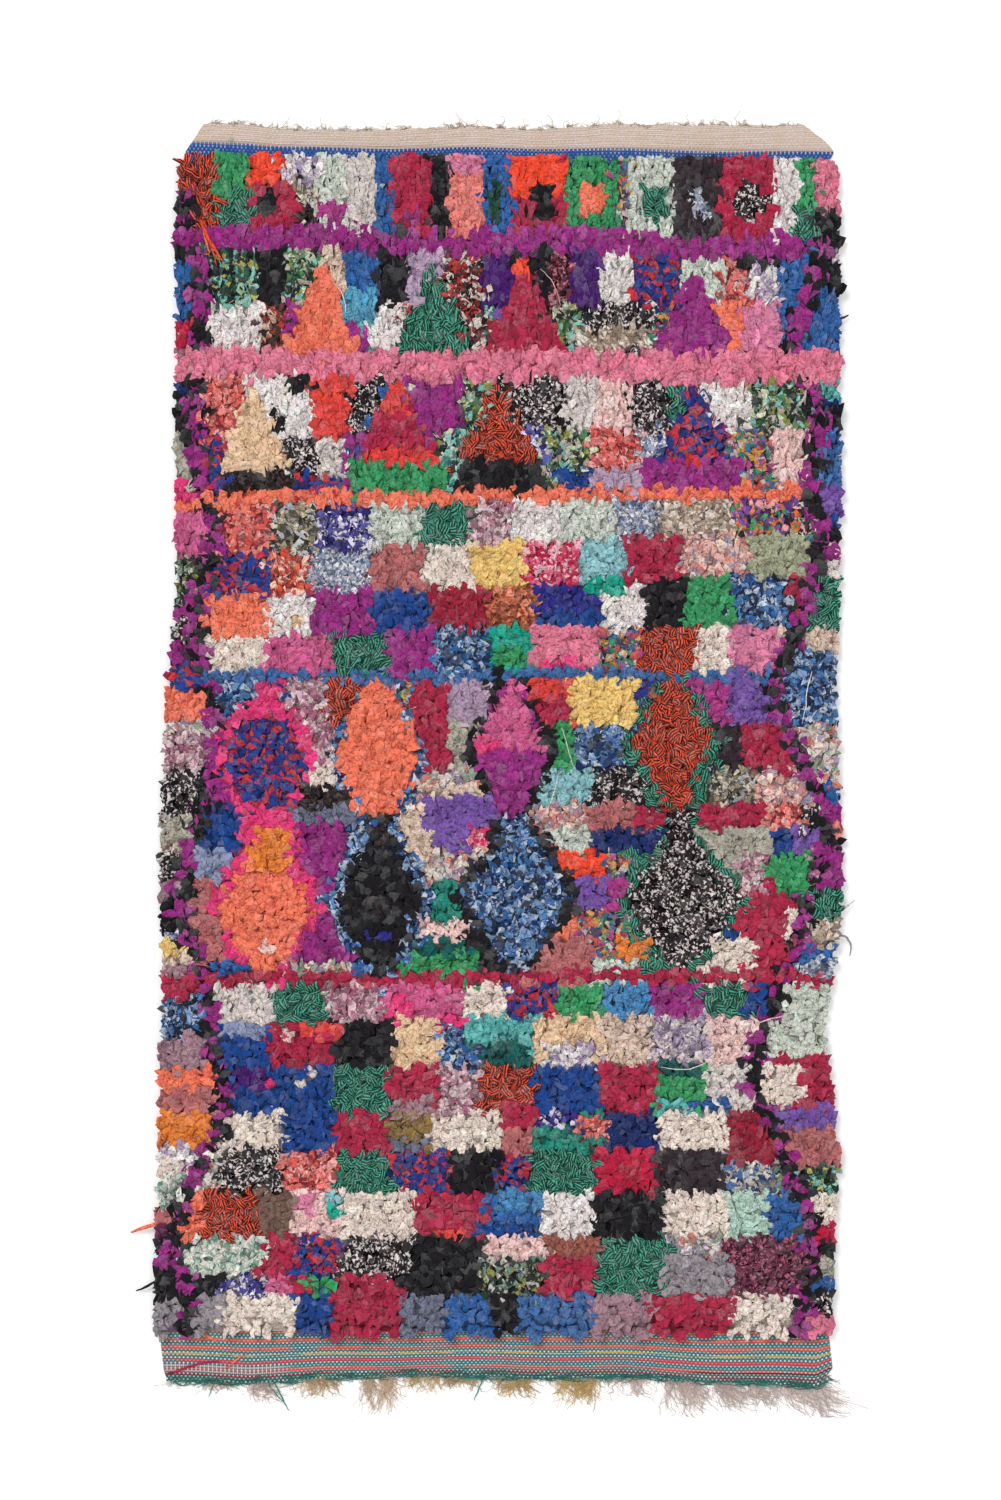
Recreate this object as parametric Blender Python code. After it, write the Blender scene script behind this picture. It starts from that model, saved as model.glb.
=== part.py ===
"""A boucherouite rug: a hand-woven Moroccan rag rug that lies flat.

Metres, +Z up. The rug's length runs along Y, with its plain cream end at +Y.
The origin is the middle of the whole outline, on the floor.

The weaver makes one ground cloth, with a flat-woven band at each end, and knots rows of torn rags
into it between the bands. The warp yarns stand out past both ends as a short, frayed fringe.
"""

import random
from collections import namedtuple

import bmesh
import bpy
import numpy as np

# Whole rug
HALF_WIDTH = 0.7165  # to the tips of the longest stray rags
HALF_LENGTH = 1.2825  # to the tips of the longest warp ends
SEAT_GAP = 0.0003  # between two pieces that lie against each other

# Ground cloth
GROUND_THICK = 0.003
SELVEDGE_INSET = 0.007  # how far the cloth's side edge lies inside the ragged outline

# Pile
PILE_HEAD = 1.200  # Y of the first row of knots
PILE_FOOT = -1.113  # Y of the last row
ROW_PITCH = 0.0413  # from one row of knots to the next
LUMPS_ACROSS = 30
CREST_HEIGHT = 0.031  # top of a tuft in its row
DIP_HEIGHT = 0.026  # between two tufts of a row
TROUGH_HEIGHT = 0.0185  # between two rows
HEIGHT_SPREAD = 0.0030  # how much the tufts differ
RIM_HEIGHT = 0.0125
WALL_INSET = 0.016  # from the ragged outline to the root of the rim's locks
LOCK_SPREAD = 0.009  # how much the rim's locks differ in length
LOCK_TAPER = 0.34  # the size of a lock's tip, as a share of its root
LOCK_DROOP = 0.0020  # how far a lock's tip hangs below its root
SHIFT = 0.005  # how far a tuft strays from its place in the row

# Fringe
STRIP_WIDE = 0.005  # the twined warp ends that the strands spring from
FRINGE_THICK = 0.0022
STRAND_WIDE = 0.0034
TIP_WIDE = 0.0012
FRAY_PITCH = 0.027  # between the short warp ends at the head
FRAY_LENGTH = 0.007

# The ragged outline from the head down. y, and x of its left and right edge.
Section = namedtuple("Section", "y left right")
OUTLINE = [
    Section(1.216, -0.614, 0.672),
    Section(1.044, -0.628, 0.685),
    Section(0.807, -0.622, 0.687),
    Section(0.571, -0.624, 0.689),
    Section(0.334, -0.622, 0.685),
    Section(0.157, -0.638, 0.677),
    Section(-0.050, -0.653, 0.685),
    Section(-0.287, -0.654, 0.692),
    Section(-0.464, -0.648, 0.664),
    Section(-0.553, -0.654, 0.659),
    Section(-0.671, -0.656, 0.673),
    Section(-0.790, -0.660, 0.685),
    Section(-0.937, -0.664, 0.675),
    Section(-1.113, -0.666, 0.671),
    Section(-1.198, -0.657, 0.679),
]

# The cloth's cut edge at the head and at the foot, from left to right.
EdgePoint = namedtuple("EdgePoint", "x y")
HEAD_EDGE = [
    EdgePoint(-0.566, 1.270),
    EdgePoint(-0.480, 1.268),
    EdgePoint(-0.420, 1.259),
    EdgePoint(-0.230, 1.257),
    EdgePoint(-0.040, 1.264),
    EdgePoint(0.090, 1.257),
    EdgePoint(0.240, 1.268),
    EdgePoint(0.420, 1.266),
    EdgePoint(0.612, 1.266),
]
FOOT_EDGE = [
    EdgePoint(-0.645, -1.213),
    EdgePoint(-0.480, -1.217),
    EdgePoint(-0.330, -1.207),
    EdgePoint(-0.150, -1.201),
    EdgePoint(0.060, -1.207),
    EdgePoint(0.260, -1.206),
    EdgePoint(0.430, -1.214),
    EdgePoint(0.640, -1.224),
    EdgePoint(0.668, -1.206),
]

# Long rags that hang out of the pile's side. side is -1 at the left and 1 at the right.
Stray = namedtuple("Stray", "side y tip_x tip_y")
STRAYS = [
    Stray(-1, -0.904, -HALF_WIDTH, -0.918),
    Stray(-1, -1.008, -0.706, -1.034),
    Stray(1, -0.300, HALF_WIDTH, -0.262),
    Stray(1, 0.884, 0.704, 0.893),
]

# Bunches of warp ends at the foot, from left to right. lean is how far the tips drift to +X.
Bunch = namedtuple("Bunch", "left right strands length lean")
BUNCHES = [
    Bunch(-0.560, -0.520, 4, 0.016, 0.002),
    Bunch(-0.470, -0.432, 5, 0.034, 0.010),
    Bunch(-0.368, -0.318, 7, 0.034, -0.002),
    Bunch(-0.258, -0.192, 9, 0.076, 0.004),
    Bunch(-0.150, -0.112, 5, 0.038, 0.002),
    Bunch(-0.098, -0.030, 7, 0.020, -0.002),
    Bunch(0.014, 0.076, 8, 0.036, 0.003),
    Bunch(0.128, 0.206, 10, 0.050, 0.006),
    Bunch(0.254, 0.288, 5, 0.032, 0.004),
    Bunch(0.340, 0.412, 10, 0.062, 0.016),
    Bunch(0.424, 0.486, 8, 0.052, 0.020),
    Bunch(0.500, 0.560, 8, 0.036, 0.018),
    Bunch(0.576, 0.652, 10, 0.050, 0.030),
]


def clear_scene():
    for item in list(bpy.data.objects):
        bpy.data.objects.remove(item)


def material(name, colour, roughness):
    made = bpy.data.materials.new(name)
    made.use_nodes = True
    shader = made.node_tree.nodes["Principled BSDF"]
    shader.inputs["Base Color"].default_value = (*colour, 1.0)
    shader.inputs["Roughness"].default_value = roughness
    shader.inputs["Metallic"].default_value = 0.0
    return made


def add_object(name, mesh, finish):
    mesh.materials.append(finish)
    item = bpy.data.objects.new(name, mesh)
    bpy.context.scene.collection.objects.link(item)
    return item


def outline_at(y):
    """x of the ragged outline's left and right edge at y."""
    down = [-section.y for section in OUTLINE]
    left = np.interp(-y, down, [section.left for section in OUTLINE])
    right = np.interp(-y, down, [section.right for section in OUTLINE])
    return float(left), float(right)


def edge_y(edge, x):
    """y of a cut edge at x."""
    return float(np.interp(x, [point.x for point in edge], [point.y for point in edge]))


def slab_from_outline(name, outline, low, high, finish):
    """A flat solid between two heights, from an outline that runs anticlockwise seen from above."""
    shape = bmesh.new()
    face = shape.faces.new([shape.verts.new((x, y, low)) for x, y in outline])
    raised = bmesh.ops.extrude_face_region(shape, geom=[face], use_keep_orig=True)
    top = [item for item in raised["geom"] if isinstance(item, bmesh.types.BMVert)]
    bmesh.ops.translate(shape, verts=top, vec=(0.0, 0.0, high - low))
    bmesh.ops.recalc_face_normals(shape, faces=shape.faces)
    mesh = bpy.data.meshes.new(name)
    shape.to_mesh(mesh)
    shape.free()
    return add_object(name, mesh, finish)


def ground_weave(finish):
    """The ground cloth: one sheet from cut edge to cut edge, flat bands and all."""
    sides = [(section.y, *outline_at(section.y)) for section in OUTLINE]
    left = [(x_left + SELVEDGE_INSET, y) for y, x_left, _ in sides]
    right = [(x_right - SELVEDGE_INSET, y) for y, _, x_right in reversed(sides)]
    outline = left + list(FOOT_EDGE) + right + list(reversed(HEAD_EDGE))
    return slab_from_outline("ground_weave", outline, 0.0, GROUND_THICK, finish)


def tuft_height(column, row, across, along, chance):
    """Height of the pile's surface at a point of its grid: rows of tufts, each set between the
    tufts of the next row, and lower at the rim."""
    if column in (0, across) or row in (0, along):
        return RIM_HEIGHT
    height = TROUGH_HEIGHT
    if row % 2:
        height = CREST_HEIGHT if (column + row // 2) % 2 else DIP_HEIGHT
    return height + chance.uniform(-HEIGHT_SPREAD, HEIGHT_SPREAD)


def pile_grid(shape, across, along, chance):
    """The pile's upper surface, as rows of points from the head to the foot."""
    grid = []
    for row in range(along + 1):
        y = PILE_HEAD + (PILE_FOOT - PILE_HEAD) * row / along
        left, right = outline_at(y)
        left, right = left + WALL_INSET, right - WALL_INSET
        line = []
        for column in range(across + 1):
            inside = column not in (0, across) and row not in (0, along)
            dx, dy = (chance.uniform(-SHIFT, SHIFT) if inside else 0.0 for _ in range(2))
            z = tuft_height(column, row, across, along, chance)
            line.append(shape.verts.new((left + (right - left) * column / across + dx, y + dy, z)))
        grid.append(line)
    for upper, lower in zip(grid, grid[1:]):
        for a, b, c, d in zip(upper, upper[1:], lower[1:], lower):
            shape.faces.new((a, d, c, b))
    return grid


def rim_of(grid):
    """The surface's outer points in order: down the left side, along the foot, up and back."""
    left = [line[0] for line in grid]
    foot = grid[-1][1:]
    right = [line[-1] for line in reversed(grid[:-1])]
    head = list(reversed(grid[0][1:-1]))
    return left + foot + right + head


def lock_tip(middle, outward, chance):
    """Where a rim lock ends: a little way out and down, or where a stray rag reaches."""
    for stray in STRAYS:
        near = abs(middle.y - stray.y) < ROW_PITCH / 4
        if near and outward.x * stray.side > 0.5:
            return (stray.tip_x, stray.tip_y, middle.z)
    reach = WALL_INSET + chance.uniform(-LOCK_SPREAD, LOCK_SPREAD / 2)
    slide = chance.uniform(-LOCK_SPREAD, LOCK_SPREAD) / 2
    return (
        middle.x + outward.x * reach + outward.y * slide,
        middle.y + outward.y * reach + outward.x * slide,
        middle.z - LOCK_DROOP,
    )


def draw_out_locks(shape, walls, chance):
    """Each wall face is drawn out into a tapered lock of four sides."""
    drawn = bmesh.ops.extrude_discrete_faces(shape, faces=walls)["faces"]
    for face in drawn:
        middle = face.calc_center_median()
        outward = face.normal.copy()
        tip = lock_tip(middle, outward, chance)
        for vert in face.verts:
            offset = (vert.co - middle) * LOCK_TAPER
            vert.co = (tip[0] + offset.x, tip[1] + offset.y, tip[2] + offset.z)


def rag_pile(finish):
    """The knotted rags: a lumpy slab on the ground cloth, with locks all round its rim."""
    chance = random.Random(11)
    along = 2 * round((PILE_HEAD - PILE_FOOT) / ROW_PITCH)
    base = GROUND_THICK + SEAT_GAP
    shape = bmesh.new()
    grid = pile_grid(shape, LUMPS_ACROSS, along, chance)
    rim = rim_of(grid)
    foot_ring = [shape.verts.new((vert.co.x, vert.co.y, base)) for vert in rim]
    walls = []
    for i, vert in enumerate(rim):
        after = (i + 1) % len(rim)
        walls.append(shape.faces.new((vert, foot_ring[i], foot_ring[after], rim[after])))
    shape.faces.new(list(reversed(foot_ring)))
    shape.normal_update()
    draw_out_locks(shape, walls, chance)
    bmesh.ops.recalc_face_normals(shape, faces=shape.faces)
    mesh = bpy.data.meshes.new("rag_pile")
    shape.to_mesh(mesh)
    shape.free()
    return add_object("rag_pile", mesh, finish)


def strand(root_x, root_y, length, lean, away):
    """Outline points of one warp end, from its left root to its right root. away is -1 at the foot."""
    half, tip = STRAND_WIDE / 2, TIP_WIDE / 2
    bend_x, bend_y = root_x + 0.3 * lean, root_y + away * 0.55 * length
    tip_x, tip_y = root_x + lean, root_y + away * length
    return [
        (root_x - half, root_y),
        (bend_x - half, bend_y),
        (tip_x - tip, tip_y),
        (tip_x + tip, tip_y),
        (bend_x + half, bend_y),
        (root_x + half, root_y),
    ]


def foot_strands():
    """Root x, length and lean of each warp end at the foot: the bunches fan out a little."""
    found = []
    for bunch in BUNCHES:
        middle = (bunch.strands - 1) / 2
        for i in range(bunch.strands):
            off = (i - middle) / middle
            x = bunch.left + (bunch.right - bunch.left) * i / (bunch.strands - 1)
            length = bunch.length * (1.0 - 0.30 * abs(off) - 0.12 * (i % 2))
            found.append((x, length, bunch.lean * (1.0 + 0.2 * off)))
    return found


def head_strands():
    """The short, worn warp ends at the head."""
    chance = random.Random(5)
    first, last = HEAD_EDGE[0].x + 2 * STRAND_WIDE, HEAD_EDGE[-1].x - 2 * STRAND_WIDE
    count = round((last - first) / FRAY_PITCH)
    found = []
    for i in range(count + 1):
        x = first + (last - first) * i / count
        length = FRAY_LENGTH * chance.uniform(0.4, 1.1)
        found.append((x, length, chance.uniform(-0.5, 0.5) * length))
    return found


def comb(edge, strands, away):
    """Outline of a strip along a cut edge with strands standing off it. away is the way they point."""
    near, far = away * SEAT_GAP, away * (SEAT_GAP + STRIP_WIDE)
    backs = [(point.x, point.y + near) for point in edge]
    teeth = []
    roots = [x for x, _, _ in strands]
    bends = [point.x for point in edge if min(abs(point.x - x) for x in roots) > STRAND_WIDE]
    steps = sorted([(x, None) for x in bends] + [(x, (length, lean)) for x, length, lean in strands])
    limit = away * HALF_LENGTH
    for x, tooth in steps:
        y = edge_y(edge, x) + far
        if tooth is None:
            teeth.append((x, y))
            continue
        length, lean = min(tooth[0], (limit - y) * away), tooth[1]
        teeth += strand(x, y, length, lean, away)
    return teeth, backs


def warp_fringe(name, edge, strands, away, finish):
    """The warp ends past one end of the cloth, with their roots in one narrow twined strip."""
    teeth, backs = comb(edge, strands, away)
    outline = teeth + list(reversed(backs))
    if away > 0:
        outline.reverse()
    return slab_from_outline(name, outline, 0.0, FRINGE_THICK, finish)


def build():
    clear_scene()
    cotton = material("ground cotton", (0.69, 0.60, 0.52), 0.95)
    rags = material("mixed rags", (0.42, 0.18, 0.26), 0.92)
    yarn = material("warp yarn", (0.66, 0.55, 0.42), 0.95)
    ground_weave(cotton)
    rag_pile(rags)
    warp_fringe("warp_fringe_foot", FOOT_EDGE, foot_strands(), -1, yarn)
    warp_fringe("warp_fringe_head", HEAD_EDGE, head_strands(), 1, yarn)


build()
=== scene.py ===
"""The looks of a boucherouite rug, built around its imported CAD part.

Metres, +Z up, in the CAD's own frame: the rug's length runs along Y, its plain cream end at +Y.
The pattern is charted in centimetres from the middle of the rug, X to the right and Y to the head.

The weaver knots torn rags into a cotton ground, row by row, between two flat-woven bands. Each rag
end is a short folded strip of cloth that rises from its knot and lies over its neighbours. The
rags come from balls of like cloth, and each ball's rags are one joined mesh over the whole rug.
"""
from collections import namedtuple

import bpy
import numpy as np
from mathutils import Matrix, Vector


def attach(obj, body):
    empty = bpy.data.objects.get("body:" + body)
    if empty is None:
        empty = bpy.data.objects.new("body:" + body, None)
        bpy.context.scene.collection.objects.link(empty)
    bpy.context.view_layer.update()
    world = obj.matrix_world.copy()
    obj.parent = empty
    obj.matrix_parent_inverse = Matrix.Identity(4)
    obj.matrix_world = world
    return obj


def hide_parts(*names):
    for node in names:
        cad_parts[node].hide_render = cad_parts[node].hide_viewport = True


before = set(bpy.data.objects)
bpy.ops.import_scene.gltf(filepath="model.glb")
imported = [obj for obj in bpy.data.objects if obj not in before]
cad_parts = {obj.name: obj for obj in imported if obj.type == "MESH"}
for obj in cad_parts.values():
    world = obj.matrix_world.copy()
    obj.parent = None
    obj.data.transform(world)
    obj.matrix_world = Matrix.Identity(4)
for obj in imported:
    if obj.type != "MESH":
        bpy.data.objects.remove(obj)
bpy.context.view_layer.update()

CM = 0.01

# The pile
ROW_PITCH = 0.0206  # from one row of knots to the next
TUFT_PITCH = 0.0413  # from one crest of the CAD's pile to the next
PILE_HEAD = 1.190
PILE_FOOT = -1.112
TIPS_END = 1.2065  # the topmost rags end here, over the foot of the blue band
HEAD_SLANT = -0.0125  # the blue band falls away to the right
HEAD_RAGGED = 0.004  # the cream band's loose edge, past the CAD's
PILE_TOP = 0.0365  # no rag stands higher
PILE_SEAT = 0.0042  # nor lower, so that it clears the ground cloth
KNOT_STEP = 0.0102  # from one knot to the next along a row
RAG_THICK = 0.0022
RAG_REACH = (0.014, 0.025)
BROAD_RAG = (0.016, 0.027)  # the least and greatest width of a broad rag
NARROW_RAG = (0.011, 0.019)
CREST = (0.0252, 0.0308)  # how high the rags rise
CREST_MIDDLE = 0.0280
END_SPREAD = 0.0022  # how far a rag's two ends come up to either side of its knot
EDGE_STEP = 0.0125  # between knots down the rug's sides
MARGIN = 0.010  # the outermost knots stand this far inside the rug's edge
SELVEDGE_INSET = 0.007  # and the ground cloth's side lies this far inside it, as in the CAD
# The ground cloth
STAIN_PLACE = (-0.5155, 1.2345, 0.003)  # a small green stain on the cream band
BLUE_BAND_TOP = 1.2235
BLUE_BAND_FOOT = 1.2000
FOOT_BAND_TOP = -1.105
FOOT_NOMINAL, HEAD_NOMINAL = -1.2200, 1.2630  # Y of its cut edges before they are made uneven
WEFT_WAVES = ((9.0, 0.7, 0.0022), (21.0, 2.1, 0.0014))  # radians a metre, start and height of each
BARE_STRIP = -1.1945  # a strip of bare warp at the foot's left
BLACK_WEFT = -1.1990  # one black weft at the foot's right
PICK = 0.0056  # from one weft to the next in the foot band
WARP_PITCH = 0.0082
HEAD_SHOULDER = 0.014  # how far the cream band's right-hand corner rounds out
THREAD_PITCH = 0.0034  # between the cream band's thread lines
FOOT_ENDS = (-0.640, 0.670)  # X of the foot fringe's two ends
FRAY_ENDS = (-0.562, 0.608)
# The photograph's frame
FRAME_HIGH = 2.957
FRAME_MIDDLE = (0.0158, 0.0345)
LENS = 70
SENSOR = 36
CAMERA_HIGH = FRAME_HIGH * LENS / SENSOR
FOCUS_HIGH = 0.02  # the height at which the frame is measured

# The rags: for each ball its cloth's weave, and the dyes in it. A print or stripe has two or three
# colours. A mottled or dappled rag takes any three of its cloth's.
RAG_BALLS = {
    "crimson_rags": ("plain", {
        "crimson": "B02648", "bright_crimson": "BE1C42", "dark_crimson": "9E1B38", "red": "E04540",
        "neon_red": "FF4C2E", "dusty_rose": "B86A6A"}),
    "pink_rags": ("plain", {
        "rose": "E27C96", "pink": "DA7FA2", "orchid": "D05E8F", "hot_pink": "E63C7C",
        "magenta": "AE3A86"}),
    "coral_rags": ("plain", {
        "coral": "FA7B5E", "salmon": "E8837A", "orange": "EA8436", "yellow": "F0C777",
        "cream_yellow": "EAC6A2", "ochre": "8F7344", "tan": "9C5A4C"}),
    "purple_rags": ("plain", {
        "purple": "9C2A82", "violet": "7A54A6", "deep_violet": "4A1470", "plum": "6A2A50"}),
    "blue_rags": ("plain", {
        "cobalt": "1A4690", "blue": "2E63A6", "navy": "182C6A", "denim": "406AA4", "sky": "8FC2C8",
        "turquoise": "5EB6B2", "slate": "70748A", "azure": "4A8CC0", "lagoon": "56A6C6",
        "indigo": "2E2F8C"}),
    "green_rags": ("plain", {
        "emerald": "3A9C62", "jade": "0FA88E", "teal": "208A78", "dark_teal": "0E5E5A",
        "dark_green": "1F4A38", "sage": "A6A98C"}),
    "pale_rags": ("pale", {
        "cream": "EDDCD0", "white": "EEE4E1", "pale_grey": "DCD1CC", "pale_mint": "D0D5C9",
        "mint": "B6D2C4", "pale_pink": "F2CAC5", "beige": "DEC4B2"}),
    "soft_rags": ("plain", {
        "mauve": "A6808C", "lilac": "B59AB4", "light_denim": "8A93B4", "grey": "989096",
        "taupe": "7A5C50", "grey_green": "B0AA9C"}),
    "dark_rags": ("plain", {"black": "161218", "charcoal": "33272E", "brown": "4A3430"}),
    "striped_rags": ("striped", {
        "green_stripe": "4FA48A 0F352C", "red_stripe": "F0583A 33191A"}),
    "mottled_rags": ("mottled", {
        "blue_red_mix": "26408E B02A44 C8363C 3A2C74 1F3D8C",
        "dark_floral": "1E2A28 24382C 6CA89C 8FC4B8 2E5A46 B0A858 1C1A20",
        "green_floral": "4C7A50 24302A 1E2A28 C9CDB0 8C8F3E 7FB8AE B7A9A0",
        "red_brown_print": "8C3A2E 2B2022 B23A34 C9A48C 4A2A24",
        "multi_fleck": "4A4258 C45A50 C9BDB8 3A6A9A A8447C D09A48 3E8A6A",
        "confetti": "8450A0 E07838 2F9A60 2B2430 6A3C8C E8A0A0",
        "cream_fleck": "E2D2C6 DCCFC8 C98070 8FA08A C9BEC0 9A88A0",
        "olive_print": "2C3230 24382C 8A8C4A C9C3B8 1C1A20 6E8A80",
        "blue_cream_print": "D8CEC4 2A3A62 8E98A8 C8BEB4 4A6A9A"}),
    "fine_prints": ("printed", {
        "black_white": "1A1316 DACECC 2E2226", "black_brown": "1A1216 4B352E 2B2226",
        "plum_fleck": "74304A 2A1A24 B0607A", "maroon_fleck": "7A2C40 1F151B B7757E",
        "grey_fleck": "9AA2B4 E0DCDC 5A6A90"}),
    "pale_prints": ("dappled", {
        "salmon_fleck": "E06A62 D4544E EFA6A0 8E3038 E8827A",
        "lavender_fleck": "A99AB8 C8B8BC 8A7890 D9CCC4",
        "beige_fleck": "D6C8B0 5E5648 2E2A28 9A8E76 B9BEC6",
        "mauve_fleck": "B88E9A CFAAB4 A8627E 8A626C D8C2C4",
        "mint_fleck": "C2CCC0 E2DCD2 6F9A84 D4DAD0",
        "pink_fleck": "E8B4AA E8CCC0 9A94A8 C87F80 D8A090",
        "white_lilac": "DCD2D2 A48CB0 EDE4E2 C8BCC4",
        "taupe_print": "D2BEAC B29C88 E6DACF 8E7A6C"}),
    "bright_prints": ("dappled", {
        "blue_white_print": "2F5F9A 1C3060 B8C4D4 4F7FB4 22283A 7F98BC",
        "navy_print": "3B3088 DED8E6 26245E 5A5AA0", "coral_fleck": "D8764E A8583A 8A4030 E89070",
        "rust_print": "D8503E F0C4B0 E8705A A83A30", "red_speck": "B43834 1E171B 6A2A28 DACDC4",
        "teal_print": "2A8880 8FC4B8 1F4A50 C8D4C8",
        "crimson_print": "DA3C66 E87090 C02048 F0B8C4"}),
}

BROAD_BALLS = ("crimson_rags", "pink_rags", "coral_rags", "purple_rags", "soft_rags", "dark_rags")

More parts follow.
